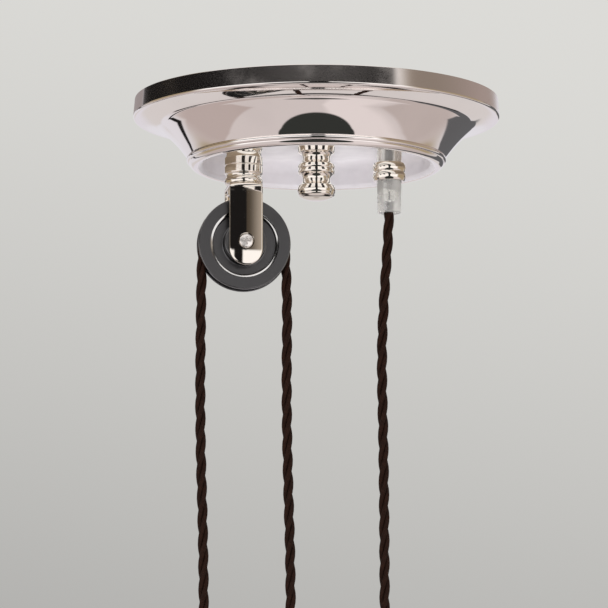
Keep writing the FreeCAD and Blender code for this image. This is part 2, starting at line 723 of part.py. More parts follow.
def build_wheel(label, radius, **where):
    """A grooved wheel: hub, thin web, flat band and rounded groove, the same on both sides."""
    half_width = size.wheel_width / 2
    pitch = radius - size.flange_depth
    groove = size.flex_radius + size.groove_gap
    bore = size.axle_radius + size.bush_gap + size.bush_wall + size.thread_gap
    recess = radius - size.rim_band
    edge = size.wheel_edge
    body = new_body(label)
    half = revolve(body, [
        line(bore, 0),
        line(bore, hub_half),
        line(size.hub_radius - edge, hub_half),
        line(size.hub_radius, hub_half - edge),
        line(size.hub_radius, size.web_thickness / 2),
        line(recess, size.web_thickness / 2),
        line(recess, half_width - edge),
        line(recess + edge, half_width),
        line(radius - edge, half_width),
        line(radius, half_width - edge),
        line(radius, groove),
        line(pitch, groove),
        cove(pitch - groove, 0, groove),
    ])
    whole = body.newObject("PartDesign::Mirrored", f"{label}_whole")
    whole.Originals = [half]
    middle_plane = next(item for item in body.Origin.OriginFeatures if item.Role == "XY_Plane")
    whole.MirrorPlane = (middle_plane, [""])
    body.Tip = whole
    place(body, roll=as_size(90), **where)


def build_axle(prefix, **where):
    """The screw through a yoke's legs, its nut behind, and the washers beside the hub."""
    face = yoke_half_span - size.axle_head_sink
    head = face + size.axle_head_height
    tail = -(yoke_half_span + size.axle_nut_height + size.axle_tail)
    edge = size.wheel_edge
    body = new_body(f"{prefix}_axle")
    revolve(body, [
        line(0, head),
        line(size.axle_head_radius - edge, head),
        bead(size.axle_head_radius, head - edge, edge),
        line(size.axle_head_radius, face),
        line(size.axle_radius, face),
        line(size.axle_radius, tail),
        line(0, tail),
    ])
    cross = new_sketch(body, "XY_Plane", lift=head)
    span = size.axle_cross_span / 2
    slot = size.axle_cross_width / 2
    draw(cross, [
        line(-slot, span), line(slot, span), line(slot, slot),
        line(span, slot), line(span, -slot), line(slot, -slot),
        line(slot, -span), line(-slot, -span), line(-slot, -slot),
        line(-span, -slot), line(-span, slot), line(-slot, slot),
    ])
    cut(body, cross, size.axle_cross_depth)
    place(body, roll=as_size(90), **where)

    yaw = where.get("yaw", ZERO)

    def along(distance):
        """A place on the axle's line, the given distance behind its middle."""
        return {"across": where["across"] - distance * sine(yaw), "away": distance * cosine(yaw),
                "up": where["up"], "yaw": yaw, "roll": as_size(-90)}

    keep(hex_nut(size.axle_nut_flats, size.axle_nut_height, axle_bore, **along(yoke_half_span)),
         f"{prefix}_axle_nut")
    group(f"{prefix}_axle_washers", [
        washer(size.axle_washer_radius, axle_bore, size.axle_washer_thickness, **along(start))
        for start in (-size.yoke_gap / 2, size.yoke_gap / 2 - size.axle_washer_thickness)])


def build_bush(label, **where):
    """The bronze sleeve in a wheel's hub that runs on the axle."""
    bore = size.axle_radius + size.bush_gap
    turned(label, ring_steps(bore, bore + size.bush_wall, hub_half, -hub_half),
           roll=as_size(90), **where)


def build_yoke_nut(label, **where):
    """The closed round nut inside a yoke, with its seat up in its own frame."""
    seat = size.yoke_nut_radius - size.yoke_nut_wall
    foot = -size.yoke_nut_height
    turned(label, [
        line(stem_bore, 0),
        line(seat, 0),
        bead(size.yoke_nut_radius, -size.yoke_nut_wall, size.yoke_nut_wall),
        line(size.yoke_nut_radius, foot + size.yoke_nut_wall),
        bead(seat, foot, size.yoke_nut_wall),
        line(0, foot),
        line(0, foot + size.yoke_nut_wall),
        line(stem_bore, foot + size.yoke_nut_wall),
    ], **where)


stem_end_depth = size.yoke_thickness + size.yoke_nut_height - size.yoke_nut_wall - size.thread_gap


def build_ceiling_pulley():
    """The stem through the plate, its collar, and the yoke with its wheel."""
    top = plate + size.stem_above
    turned("pulley_stem", [
        line(0, top),
        line(size.stem_radius, top),
        line(size.stem_radius, bridge - stem_end_depth),
        line(0, bridge - stem_end_depth),
    ], across=boss_x)

    flare = plate - size.collar_flare_height
    drum = flare - size.collar_neck_height
    drum_foot = drum - size.collar_drum_height
    ring = drum_foot - size.collar_waist_height
    groove = (drum + drum_foot) / 2
    half_groove = size.collar_groove_height / 2
    flare_radius = size.collar_radius - size.collar_flare_step
    neck_sweep = bow_radius(0, size.collar_neck_height, size.collar_neck_depth)
    waist_sweep = bow_radius(0, size.collar_waist_height, size.collar_neck_depth)
    turned("pulley_collar", [
        line(stem_bore, plate),
        line(flare_radius, plate),
        line(flare_radius, flare),
        cove(flare_radius, drum, neck_sweep),
        line(size.collar_radius, drum),
        line(size.collar_radius, groove + half_groove),
        line(size.collar_radius - size.collar_groove_depth, groove),
        line(size.collar_radius, groove - half_groove),
        line(size.collar_radius, drum_foot),
        line(flare_radius, drum_foot),
        cove(flare_radius, ring, waist_sweep),
        bead(flare_radius, bridge, size.collar_ring_height),
        line(stem_bore, bridge),
    ], across=boss_x)

    build_yoke("pulley_yoke", yoke_reach, **CEILING_PULLEY)
    build_yoke_nut("pulley_yoke_nut", across=boss_x, up=bridge - size.yoke_thickness)
    build_wheel("ceiling_wheel", size.wheel_radius, **CEILING_PULLEY)
    build_bush("ceiling_wheel_bush", **CEILING_PULLEY)
    build_axle("ceiling", **CEILING_PULLEY)


def build_plate_fixings():
    """The washers and locknuts above the plate, on the pulley's stem and on the cord grip."""
    spots = (boss_x, size.grip_offset)
    group("plate_washers", [
        washer(size.plate_washer_radius, stem_bore, size.plate_washer_thickness,
               across=spot, up=plate_top) for spot in spots])
    group("plate_locknuts", [
        hex_nut(size.locknut_flats, size.locknut_height, stem_bore,
                across=spot, up=plate_top + size.plate_washer_thickness) for spot in spots])


# ---------------------------------------------------------------- cord grips

def build_cord_grip(prefix, tail, sleeve, **where):
    """A threaded frosted sleeve, a beaded metal collar, and a frosted body round a collet.

    In its own frame it hangs down from its seat, where the tail goes up through a hole.
    """
    thread = size.stem_radius
    grip_bore = size.flex_radius + size.grip_bore_gap
    bead_sweep = bow_radius(0, size.grip_bead_height, size.grip_bead_proud)
    collar_top = -sleeve
    collar_waist = collar_top - size.grip_bead_height
    collar_foot = collar_waist - size.grip_bead_height
    tail_end = collar_foot - size.grip_tail_below
    body_end = collar_foot - size.grip_body_height
    turned(f"{prefix}_base", [
        line(grip_bore, tail),
        line(thread, tail),
        line(thread, 0),
        line(size.grip_sleeve_radius, 0),
        line(size.grip_sleeve_radius, collar_top),
        line(thread, collar_top),
        line(thread, tail_end),
        line(grip_bore, tail_end),
    ], **where)
    turned(f"{prefix}_collar", [
        line(stem_bore, collar_top),
        line(size.grip_collar_radius, collar_top),
        bead(size.grip_collar_radius, collar_waist, bead_sweep),
        bead(size.grip_collar_radius, collar_foot, bead_sweep),
        line(stem_bore, collar_foot),
    ], **where)
    collet_top = tail_end - size.collet_gap
    collet_end = collet_top - size.collet_height
    turned(f"{prefix}_body", [
        line(stem_bore, collar_foot),
        line(size.grip_body_top_radius, collar_foot),
        line(size.grip_body_end_radius, body_end + size.grip_body_round),
        bead(size.grip_body_end_radius - size.grip_body_round, body_end, size.grip_body_round),
        line(grip_bore, body_end),
        line(grip_bore, collet_end - size.collet_gap),
        line(size.collet_end_radius + size.collet_wall_gap, collet_end),
        line(stem_bore, collet_top),
    ], **where)
    collet_bore = size.flex_radius + size.flex_grip_gap
    turned(f"{prefix}_collet", [
        line(collet_bore, collet_top),
        line(size.collet_top_radius, collet_top),
        line(size.collet_end_radius, collet_end),
        line(collet_bore, collet_end),
    ], **where)


grip_length = size.grip_bead_height * 2 + size.grip_body_height
grip_exit = plate - size.grip_sleeve_height - grip_length

# ---------------------------------------------------------------- terminal block and cores

pole_middles = [block_middle + size.pole_spacing * pole for pole in (-1, 0, 1)]
block_foot = strap_foot - size.block_height
tube_height = strap_foot - size.block_height / 2


def build_terminal_block():
    """The three-pole block under the strap's lug, with its brass tubes and its screws."""
    half_length = size.block_length / 2
    half_width = size.block_width / 2
    tube_well = size.tube_radius + size.thread_gap
    screw_well = size.terminal_screw_radius + size.thread_gap
    tube_half = half_width - size.tube_inset
    body = new_body("terminal_block")
    blank = new_sketch(body, "XY_Plane")
    draw(blank, [
        line(-half_length, half_width), line(half_length, half_width),
        line(half_length, -half_width), line(-half_length, -half_width),
    ])
    pad(body, blank, size.block_height, downward=True)
    tubes = new_sketch(body, "XZ_Plane")
    screws = new_sketch(body, "XY_Plane", lift=-size.block_height)
    for pole in (-1, 0, 1):
        draw_circle(tubes, size.pole_spacing * pole, -size.block_height / 2, tube_well)
        for side in (-1, 1):
            draw_circle(screws, size.pole_spacing * pole, size.terminal_screw_reach * side,
                        screw_well)
    cut(body, tubes)
    cut(body, screws, size.block_height / 2, upward=True)
    fixing = new_sketch(body, "XY_Plane")
    draw_circle(fixing, size.pole_spacing / 2, 0, size.block_screw_radius + size.thread_gap)
    cut(body, fixing)
    place(body, across=block_middle, away=size.lug_middle, up=strap_foot)

    group("terminal_tubes", [
        washer(size.tube_radius, size.tube_bore, tube_half * 2, across=pole,
               away=size.lug_middle - tube_half, up=tube_height, roll=as_size(-90))
        for pole in pole_middles])
    screw_top = tube_height - size.tube_radius - size.thread_gap
    screw_foot = block_foot + size.terminal_screw_inset
    group("terminal_screws", [
        cylinder(size.terminal_screw_radius, screw_top - screw_foot, across=pole,
                 away=size.lug_middle + size.terminal_screw_reach * side, up=screw_foot)
        for pole in pole_middles for side in (-1, 1)])


def strap_screw(label, radius, head_radius, head_top, head_height, **where):
    """A screw that goes up into the strap from the underside of its head's seat."""
    return turned(label, [
        line(0, -size.thread_gap),
        line(radius, -size.thread_gap),
        line(radius, head_top),
        line(head_radius, head_top),
        line(head_radius, head_top - head_height),
        line(0, head_top - head_height),
    ], member=True, **where)


def build_strap_screws():
    """The earth screw and the screw that holds the terminal block, both in the strap."""
    group("strap_screws", [
        strap_screw("earth_screw", size.earth_screw_radius, size.earth_head_radius,
                    strap_foot, size.earth_head_height, away=-size.earth_reach),
        strap_screw("block_screw", size.block_screw_radius, size.block_head_radius,
                    block_foot, size.block_head_height,
                    across=block_screw_place, away=size.lug_middle)])


def routed_tube(points, radius):
    """A tube along straight runs joined by tangent arcs, each as large as its runs allow."""
    start = points[0]
    edges = []
    for before, corner, after in zip(points, points[1:], points[2:]):
        back, ahead = before - corner, after - corner
        turn = math.pi - back.getAngle(ahead)
        trim = 0.45 * min(back.Length, ahead.Length)
        enter = corner + back.normalize() * trim
        leave = corner + ahead.normalize() * trim
        bend_radius = trim / math.tan(turn / 2)
        bow = bend_radius * (1 / math.cos(turn / 2) - 1)
        middle = corner + (back + ahead).normalize() * bow
        edges.append(Part.LineSegment(start, enter).toShape())
        edges.append(Part.Arc(enter, middle, leave).toShape())
        start = leave
        print(f"  bend radius {bend_radius:.1f} mm")
    edges.append(Part.LineSegment(start, points[-1]).toShape())
    path = Part.Wire(edges)
    section = Part.Wire(Part.Circle(points[0], points[1] - points[0], radius).toShape())
    tube = path.makePipeShell([section], True, False)
    expected = math.pi * radius * radius * path.Length
    if abs(tube.Volume - expected) > 0.01 * expected:
        raise ValueError("a routed tube is not as full as its section and length say")
    return tube


def build_cores():
    """The three cores, from the end of the flex in the canopy to the terminal tubes."""
    low = (plate + size.grip_tail_above + size.flex_tail).number
    high = tube_height.number
    grip_x = size.grip_offset.number
    tube_end = (size.lug_middle - size.block_width / 2 + size.tube_inset).number
    inside = tube_end + size.block_width.number / 4
    for name, pole, angle in zip(("live", "earth", "neutral"), pole_middles, (210, 90, 330)):
        start_x = grip_x + size.core_circle.number * math.cos(math.radians(angle))
        start_y = size.core_circle.number * math.sin(math.radians(angle))
        across = pole.number - start_x
        span = tube_end - start_y
        crown = -size.core_crown_drop.number
        if name == "earth":
            crown -= size.core_crown_step.number
        print(f"core_{name}")
        points = [
            Vector(start_x, start_y, low),
            Vector(start_x, start_y, crown),
            Vector(start_x + 0.35 * across, start_y + 0.4 * span, crown),
            Vector(pole.number, start_y + 0.8 * span, high),
            Vector(pole.number, inside, high),
        ]
        core = doc.addObject("Part::Feature", f"core_{name}")
        core.Shape = routed_tube(points, size.core_radius.number)
        keep(core, f"core_{name}")


# ---------------------------------------------------------------- flex

flex_left = {"across": boss_x - pitch_radius * cosine(size.pulley_yaw),
             "away": -pitch_radius * sine(size.pulley_yaw)}
flex_middle = {"across": boss_x + pitch_radius * cosine(size.pulley_yaw),
               "away": pitch_radius * sine(size.pulley_yaw)}
weight_left = {"across": size.weight_offset - weight_pitch_radius, "away": ZERO}
weight_right = {"across": size.weight_offset + weight_pitch_radius, "away": ZERO}


def flex_run(label, top, top_height, foot, foot_height):
    """A straight run of flex between two level ends."""
    ends = []
    for spot, height in ((top, top_height), (foot, foot_height)):
        ring = doc.addObject("Part::Circle", f"{label}_end")
        ring.setExpression("Radius", size.flex_radius.formula)
        place(ring, up=height, **spot)
        ends.append(ring)
    run = doc.addObject("Part::Loft", label)
    run.Sections = ends
    run.Solid = True
    run.Ruled = True
    keep(run, label)


def flex_loop(label, pitch, roll, **where):
    """Half a turn of flex round a wheel."""
    loop = doc.addObject("Part::Torus", label)
    loop.setExpression("Radius1", pitch.formula)
    loop.setExpression("Radius2", size.flex_radius.formula)
    loop.Angle3 = 180
    place(loop, roll=as_size(roll), **where)
    keep(loop, label)


def build_flex():
    """The flex from the canopy's grip, under the counterweight and over the ceiling wheel."""
    grip_spot = {"across": size.grip_offset, "away": ZERO}
    tail = plate + size.grip_tail_above + size.flex_tail
    flex_run("flex_canopy_tail", grip_spot, tail, grip_spot, grip_exit)
    flex_run("flex_feed_run", grip_spot, grip_exit, weight_right, weight_axle_height)
    flex_loop("flex_weight_loop", weight_pitch_radius, -90, **WEIGHT_PULLEY)
    flex_run("flex_middle_run", flex_middle, axle_height, weight_left, weight_axle_height)
    flex_loop("flex_ceiling_loop", pitch_radius, 90, **CEILING_PULLEY)
    flex_run("flex_lamp_run", flex_left, axle_height, flex_left, lamp_top)
    flex_run("flex_lamp_tail", flex_left, lamp_top, flex_left, lamp_flex_end)


# ---------------------------------------------------------------- counterweight

weight_x = size.weight_offset
lid_top = weight_bridge - size.weight_collar_height
can_top = lid_top - size.lid_height
can_foot = can_top - size.can_height
rod_hole = size.rod_radius + size.thread_gap


def build_weight_pulley():
    """The counterweight's wheel in its upturned yoke, with the ring nut inside."""
    build_yoke("weight_yoke", weight_yoke_reach, yaw=as_size(180), roll=as_size(180),
               **WEIGHT_PULLEY)
    build_yoke_nut("weight_yoke_nut", across=weight_x, up=weight_bridge + size.yoke_thickness,
                   roll=as_size(180))
    build_wheel("weight_wheel", size.weight_wheel_radius, **WEIGHT_PULLEY)
    build_bush("weight_wheel_bush", **WEIGHT_PULLEY)
    build_axle("weight", **WEIGHT_PULLEY)


def build_weight_can():
    """The turned can with its lid, the rod that ties them, and the iron discs inside."""
    wall = size.can_wall
    spigot = size.can_radius - wall - size.thread_gap
    spigot_foot = can_top - size.lid_spigot_height
    floor = can_foot + wall
    finial_foot = can_foot - size.weight_finial_height
    rod_end = finial_foot + size.weight_finial_neck

    turned("weight_collar", [
        line(stem_bore, weight_bridge),
        bead(size.collar_radius, weight_bridge - size.weight_collar_height / 2,
             size.weight_collar_height),
        bead(stem_bore + size.can_wall, lid_top, size.weight_collar_height),
        line(stem_bore, lid_top),
    ], across=weight_x)

    dome_run = size.can_radius - size.lid_neck_radius
    dome_fall = size.lid_height - size.lid_lip_height
    lid_edge = can_top + size.lid_lip_height
    turned("weight_lid", [
        line(stem_bore, lid_top),
        line(size.lid_neck_radius, lid_top),
        cove(size.can_radius, lid_edge, arc_radius(dome_run, dome_fall)),
        line(size.can_radius, can_top),
        line(spigot, can_top),
        line(spigot, spigot_foot),
        line(spigot - wall, spigot_foot),
        line(spigot - wall, can_top),
        line(size.lid_neck_radius, can_top + wall),
        line(stem_bore, can_top + wall),
    ], across=weight_x)

    band_foot = can_foot + size.can_band_rise
    band_top = band_foot + size.can_band_height
    band_sweep = arc_radius(size.can_band_height / 2, size.can_band_proud)
    foot_round = size.can_foot_round
    turned("weight_can", [
        line(size.can_radius - wall, can_top),
        line(size.can_radius, can_top),
        line(size.can_radius, band_top),
        bead(size.can_radius, band_foot, band_sweep),
        line(size.can_radius, can_foot + foot_round),
        bead(size.can_radius - foot_round, can_foot, foot_round),
        line(rod_hole, can_foot),
        line(rod_hole, floor),
        line(size.can_radius - foot_round, floor),
        cove(size.can_radius - wall, can_foot + foot_round, foot_round - wall),
    ], across=weight_x)

    turned("weight_rod", [
        line(0, weight_bridge + stem_end_depth),
        line(size.stem_radius, weight_bridge + stem_end_depth),
        line(size.stem_radius, can_top),
        line(size.rod_radius, can_top),
        line(size.rod_radius, rod_end),
        line(0, rod_end),
    ], across=weight_x)

    disc_radius = size.can_radius - foot_round
    group("ballast_discs", [
        washer(disc_radius, rod_hole, size.disc_thickness, across=weight_x,
               up=floor + size.disc_thickness * number)
        for number in range(int(size.disc_count.number))])

    neck_sweep = arc_radius(size.weight_finial_height / 6,
                            (size.weight_finial_radius - size.weight_finial_neck) / 2)
    collar_step = can_foot - size.weight_finial_height / 6
    bulge = collar_step - size.weight_finial_height / 3
    turned("weight_finial", [
        line(rod_hole, can_foot),
        line(size.weight_finial_radius, can_foot),
        line(size.weight_finial_radius, collar_step),
        cove(size.weight_finial_radius, bulge, neck_sweep),
        bead(0, finial_foot, arc_radius(size.weight_finial_radius, bulge - finial_foot)),
        line(0, rod_end - size.thread_gap),
        line(rod_hole, rod_end - size.thread_gap),
    ], across=weight_x)


# ---------------------------------------------------------------- lampholder

lamp_top = -size.lamp_drop
lamp_seat = lamp_top - grip_length - size.lamp_sleeve_height
lamp_flex_end = lamp_seat - size.lamp_tail - size.flex_tail
cap_edge = lamp_seat - size.cap_dome_height
cap_foot = cap_edge - size.cap_skirt_height
shell_top = cap_foot + size.shell_overlap
shell_foot = shell_top - size.shell_height
insert_foot = shell_foot + size.holder_wall
insert_step = shell_top - size.holder_wall
insert_top = insert_step + size.insert_top_height
socket_top = insert_foot + size.socket_depth + size.holder_wall
socket_rim = socket_top - size.socket_rest
socket_foot = insert_foot + size.holder_wall
ring_tops = [cap_foot - size.ring_upper_drop - size.ring_spacing * number for number in (0, 1)]


def build_lampholder():
    """The cap and threaded shell round a ceramic insert, its contacts and the shade rings."""
    wall = size.holder_wall
    gap = size.thread_gap
    build_cord_grip("holder_grip", size.lamp_tail, size.lamp_sleeve_height, up=lamp_seat,
                    roll=as_size(180), **flex_left)

    skirt_bore = size.shell_radius + gap
    cap_radius = skirt_bore + size.cap_metal
    dome_run = cap_radius - size.cap_neck_radius
    turned("holder_cap", [
        line(stem_bore, lamp_seat),
        line(size.cap_neck_radius, lamp_seat),
        bead(cap_radius, cap_edge, arc_radius(size.cap_dome_height, dome_run)),
        line(cap_radius, cap_foot),
        line(skirt_bore, cap_foot),
        line(skirt_bore, cap_edge),
        cove(size.cap_neck_radius, lamp_seat - wall,
             arc_radius(size.cap_dome_height - wall, skirt_bore - size.cap_neck_radius)),
        line(stem_bore, lamp_seat - wall),
    ], **flex_left)

    thread_low = shell_foot + size.shell_thread_pitch
    turns = int((cap_foot - thread_low).number / size.shell_thread_pitch.number)
    thread = []
    for turn in range(turns, 0, -1):
        crest = thread_low + size.shell_thread_pitch * turn
        thread.append(line(size.shell_radius, crest))
        thread.append(line(size.shell_radius - size.shell_thread_depth,
                           crest - size.shell_thread_pitch / 2))
    inside = size.shell_radius - size.shell_metal
    insert_radius = inside - gap
    turned("holder_shell", [
        line(inside, shell_top),
        line(size.shell_radius, shell_top),
        *thread,
        line(size.shell_radius, thread_low),
        line(size.shell_radius, shell_foot),
        line(inside - size.shell_lip, shell_foot),
        line(inside - size.shell_lip, shell_foot + wall),
        line(inside, shell_foot + wall),
    ], **flex_left)

    socket_well = size.socket_radius + size.socket_wall + gap
    step_radius = size.socket_radius - size.socket_step
    insert = new_body("holder_insert")
    revolve(insert, [
        line(size.contact_rivet_radius + gap, insert_top),
        line(size.insert_top_radius, insert_top),
        line(size.insert_top_radius, insert_step),
        line(insert_radius, insert_step),
        line(insert_radius, insert_foot),
        line(socket_well, insert_foot),
        line(socket_well, socket_rim),
        line(step_radius, socket_rim),
        line(step_radius, socket_top),
        line(size.contact_rivet_radius + gap, socket_top),
    ])
    wells = new_sketch(insert, "XY_Plane", lift=insert_top)
    for side in (-1, 1):
        draw_circle(wells, size.holder_screw_reach * side, 0, size.holder_screw_radius + gap)
    cut(insert, wells, size.holder_screw_depth)
    place(insert, **flex_left)

    turned("screw_shell", ring_steps(size.socket_radius, size.socket_radius + size.socket_wall,
                                     socket_rim, socket_foot), **flex_left)
    turned("centre_contact", [
        line(0, insert_top),
        line(size.contact_rivet_radius, insert_top),
        line(size.contact_rivet_radius, socket_top),
        line(size.contact_radius, socket_top),
        bead(0, socket_top - size.contact_height,
             arc_radius(size.contact_radius, size.contact_height)),
    ], **flex_left)
    group("holder_terminals", [
        cylinder(size.holder_screw_radius, size.holder_screw_height + size.holder_screw_depth,
                 across=flex_left["across"] + size.holder_screw_reach * side,
                 away=flex_left["away"], up=insert_top - size.holder_screw_depth)
        for side in (-1, 1)])

    for name, top in zip(("upper", "lower"), ring_tops):
        foot = top - size.ring_height
        edge = size.ring_radius - size.ring_round
        turned(f"shade_ring_{name}", [
            line(skirt_bore, top),
            line(edge, top),
            bead(size.ring_radius, top - size.ring_round, size.ring_round),
            line(size.ring_radius, foot + size.ring_round),
            bead(edge, foot, size.ring_round),
            line(skirt_bore, foot),
        ], **flex_left)


# ---------------------------------------------------------------- the whole pendant

build_canopy_shell()
build_ceiling_strap()
build_stud()
build_finial()
build_ceiling_pulley()
build_cord_grip("grip", size.grip_tail_above, size.grip_sleeve_height,
                across=size.grip_offset, up=plate)
build_plate_fixings()
build_terminal_block()
build_strap_screws()
build_cores()
build_weight_pulley()
build_weight_can()
build_lampholder()
build_flex()

doc.recompute()

for item in doc.Objects:
    if "Invalid" in item.State or "Error" in item.State:
        raise RuntimeError(f"{item.Name} did not build: {item.State}")
for piece in pieces:
    if piece.Shape.isNull() or not piece.Shape.isValid() or not piece.Shape.Solids:
        raise RuntimeError(f"{piece.Label} has no valid solid")

os.makedirs("parts", exist_ok=True)
for piece in pieces:
    piece.Shape.exportStep(f"parts/{piece.Label}.step")
print(f"{len(pieces)} pieces written")
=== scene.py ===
"""A rise and fall pendant: a nickel canopy with a pulley, a cord grip, a counterweight and a
lampholder that hangs on twisted flex. Places are in metres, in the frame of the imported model:
the origin is the canopy's middle on the ceiling, +Z is up and the front is -Y.
"""
import math

import bmesh
import bpy
from mathutils import Matrix, Vector


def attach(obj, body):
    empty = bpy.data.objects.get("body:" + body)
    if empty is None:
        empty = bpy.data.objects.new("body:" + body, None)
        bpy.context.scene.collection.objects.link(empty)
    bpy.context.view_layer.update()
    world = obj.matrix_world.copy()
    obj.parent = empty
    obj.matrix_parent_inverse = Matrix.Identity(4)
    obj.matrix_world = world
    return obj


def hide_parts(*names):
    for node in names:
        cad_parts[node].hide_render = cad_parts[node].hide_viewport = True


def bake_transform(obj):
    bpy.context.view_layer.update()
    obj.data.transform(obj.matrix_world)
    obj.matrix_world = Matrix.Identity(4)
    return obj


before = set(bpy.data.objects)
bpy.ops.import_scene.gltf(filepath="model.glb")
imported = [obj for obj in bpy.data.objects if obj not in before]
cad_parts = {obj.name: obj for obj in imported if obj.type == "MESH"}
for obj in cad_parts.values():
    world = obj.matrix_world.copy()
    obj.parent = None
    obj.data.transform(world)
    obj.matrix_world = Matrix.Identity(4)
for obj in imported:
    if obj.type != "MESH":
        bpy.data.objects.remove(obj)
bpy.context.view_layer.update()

MM = 0.001


# ------------------------------------------------------------------ studio
# A pale wall fills the view, and a pale floor lies a room's height under the ceiling.
# Polished metal mirrors soft white panels at both sides, with a dark gap between them in front.

CAMERA_DISTANCE = 5.0
CAMERA_RISE = math.radians(10.0)
CAMERA_LENS = 604.5
CAMERA_REACH = 100.0
AIM = Vector((-0.0061, 0.0, -0.1019))
FLOOR_DROP = 2.3
FLOOR_HALF = 30.0
PANEL_WIDTH = 1.2
WALL_SLOPE = 12.0

scene = bpy.context.scene
scene.view_settings.view_transform = "Standard"


def add_object(name, data):
    """Put an object with this data in the scene."""
    made = bpy.data.objects.new(name, data)
    scene.collection.objects.link(made)
    return made


sight = Vector((0, math.cos(CAMERA_RISE), math.sin(CAMERA_RISE)))
camera = add_object("camera", bpy.data.cameras.new("camera"))
camera.data.lens = CAMERA_LENS
camera.data.clip_end = CAMERA_REACH
camera.location = AIM - sight * CAMERA_DISTANCE
camera.rotation_euler = sight.to_track_quat("-Z", "Y").to_euler()
scene.camera = camera


def node(tree, kind, values=(), **settings):
    """Add a node: settings are its own fields, and values go to its input sockets in order."""
    made = tree.nodes.new(kind)
    for field, value in settings.items():
        setattr(made, field, value)
    for socket, value in zip(made.inputs, values):
        if isinstance(value, bpy.types.NodeSocket):
            tree.links.new(value, socket)
        elif value is not None:
            socket.default_value = value
    return made


def compute(tree, operation, *values):
    """One step of arithmetic."""
    return node(tree, "ShaderNodeMath", values, operation=operation).outputs[0]


def product(tree, *values):
    """The product of several values."""
    total = values[0]
    for value in values[1:]:
        total = compute(tree, "MULTIPLY", total, value)
    return total


def fade(tree, value, low, high, start=0.0, end=1.0):
    """A smooth step: start below low, and end above high."""
    made = node(tree, "ShaderNodeMapRange", (value, low, high, start, end),
                interpolation_type="SMOOTHSTEP")
    return made.outputs[0]


def between(tree, value, low, high, soft):
    """1 from low to high, and 0 outside them, with soft edges."""
    return product(tree, fade(tree, value, low - soft, low + soft),
                   fade(tree, value, high - soft, high + soft, 1.0, 0.0))


def blend_colours(tree, share, first, second):
    """A mix of two colours, by a share from 0 to 1."""
    made = node(tree, "ShaderNodeMix", data_type="RGBA")
    for socket, value in zip((made.inputs[0], made.inputs[6], made.inputs[7]),
                             (share, first, second)):
        if isinstance(value, bpy.types.NodeSocket):
            tree.links.new(value, socket)
        else:
            socket.default_value = value if socket == made.inputs[0] else (*value, 1)
    return made.outputs[2]


WALL_HIGH = (0.722, 0.715, 0.688)
WALL_LOW = (0.350, 0.346, 0.336)
WALL_MIST = (0.585, 0.580, 0.570)
PANEL_WHITE = (1.15, 1.13, 1.12)
SIDE_BEIGE = (0.40, 0.32, 0.21)
BACK_PALE = (0.76, 0.74, 0.78)
BELOW_PINK = (0.64, 0.58, 0.57)
BELOW_LIT = (0.78, 0.71, 0.70)
BELOW_LEFT = (0.50, 0.42, 0.40)
BELOW_SHADE = (0.52, 0.45, 0.43)
HIGH_SIDE = (0.31, 0.26, 0.22)
HIGH_PALE = (0.42, 0.345, 0.32)
HIGH_WHITE = (1.0, 0.98, 0.96)
FLANGE_BROWN = (0.46, 0.41, 0.38)
PLATE_LILAC = (0.74, 0.71, 0.76)
END_GREY = (0.36, 0.32, 0.32)
FLANGE_PALE = (0.68, 0.64, 0.63)
NEAR_BROWN = (0.075, 0.06, 0.045)
NEAR_BEIGE = (0.46, 0.40, 0.34)
FLAG_GREY = (0.12, 0.12, 0.125)
DARK = (0.012, 0.011, 0.011)
STAND_DARK = (0.034, 0.036, 0.033)
SOFT_FILL = (0.80, 0.80, 0.82)

world = bpy.data.worlds.new("painted_studio")
scene.world = world
world.use_nodes = True
room = world.node_tree
room.nodes.clear()

toward = node(room, "ShaderNodeTexCoord").outputs["Generated"]
east, north, up = node(room, "ShaderNodeSeparateXYZ", (toward,)).outputs
turn = compute(room, "DEGREES", compute(room, "ARCTAN2", east, product(room, north, -1.0)))
side = compute(room, "ABSOLUTE", turn)
rise = compute(room, "DEGREES", compute(room, "ARCSINE", up))


def away_from(turn_degrees, rise_degrees):
    """How many degrees a direction lies from the one given by its turn and rise."""
    level = math.cos(math.radians(rise_degrees))
    middle = (level * math.sin(math.radians(turn_degrees)),
              -level * math.cos(math.radians(turn_degrees)), math.sin(math.radians(rise_degrees)))
    aligned = node(room, "ShaderNodeVectorMath", (toward, middle), operation="DOT_PRODUCT")
    return compute(room, "DEGREES", compute(room, "ARCCOSINE", aligned.outputs["Value"]))


def turns(low, high, soft):
    """The directions whose turn lies from low to high, in degrees."""
    return between(room, turn, low, high, soft)


def rises(low, high, soft):
    """The directions whose rise lies from low to high, in degrees."""
    return between(room, rise, low, high, soft)


# what polished metal mirrors: white panels left and right, and beige beyond them
mirrored = blend_colours(room, turns(-80, 62, 8), SIDE_BEIGE, PANEL_WHITE)
below = fade(room, rise, -18, -32)
high = fade(room, rise, 12, 15)
near = rises(7.5, 15, 2)
cloth = blend_colours(room, fade(room, turn, 15, 42), NEAR_BROWN, NEAR_BEIGE)
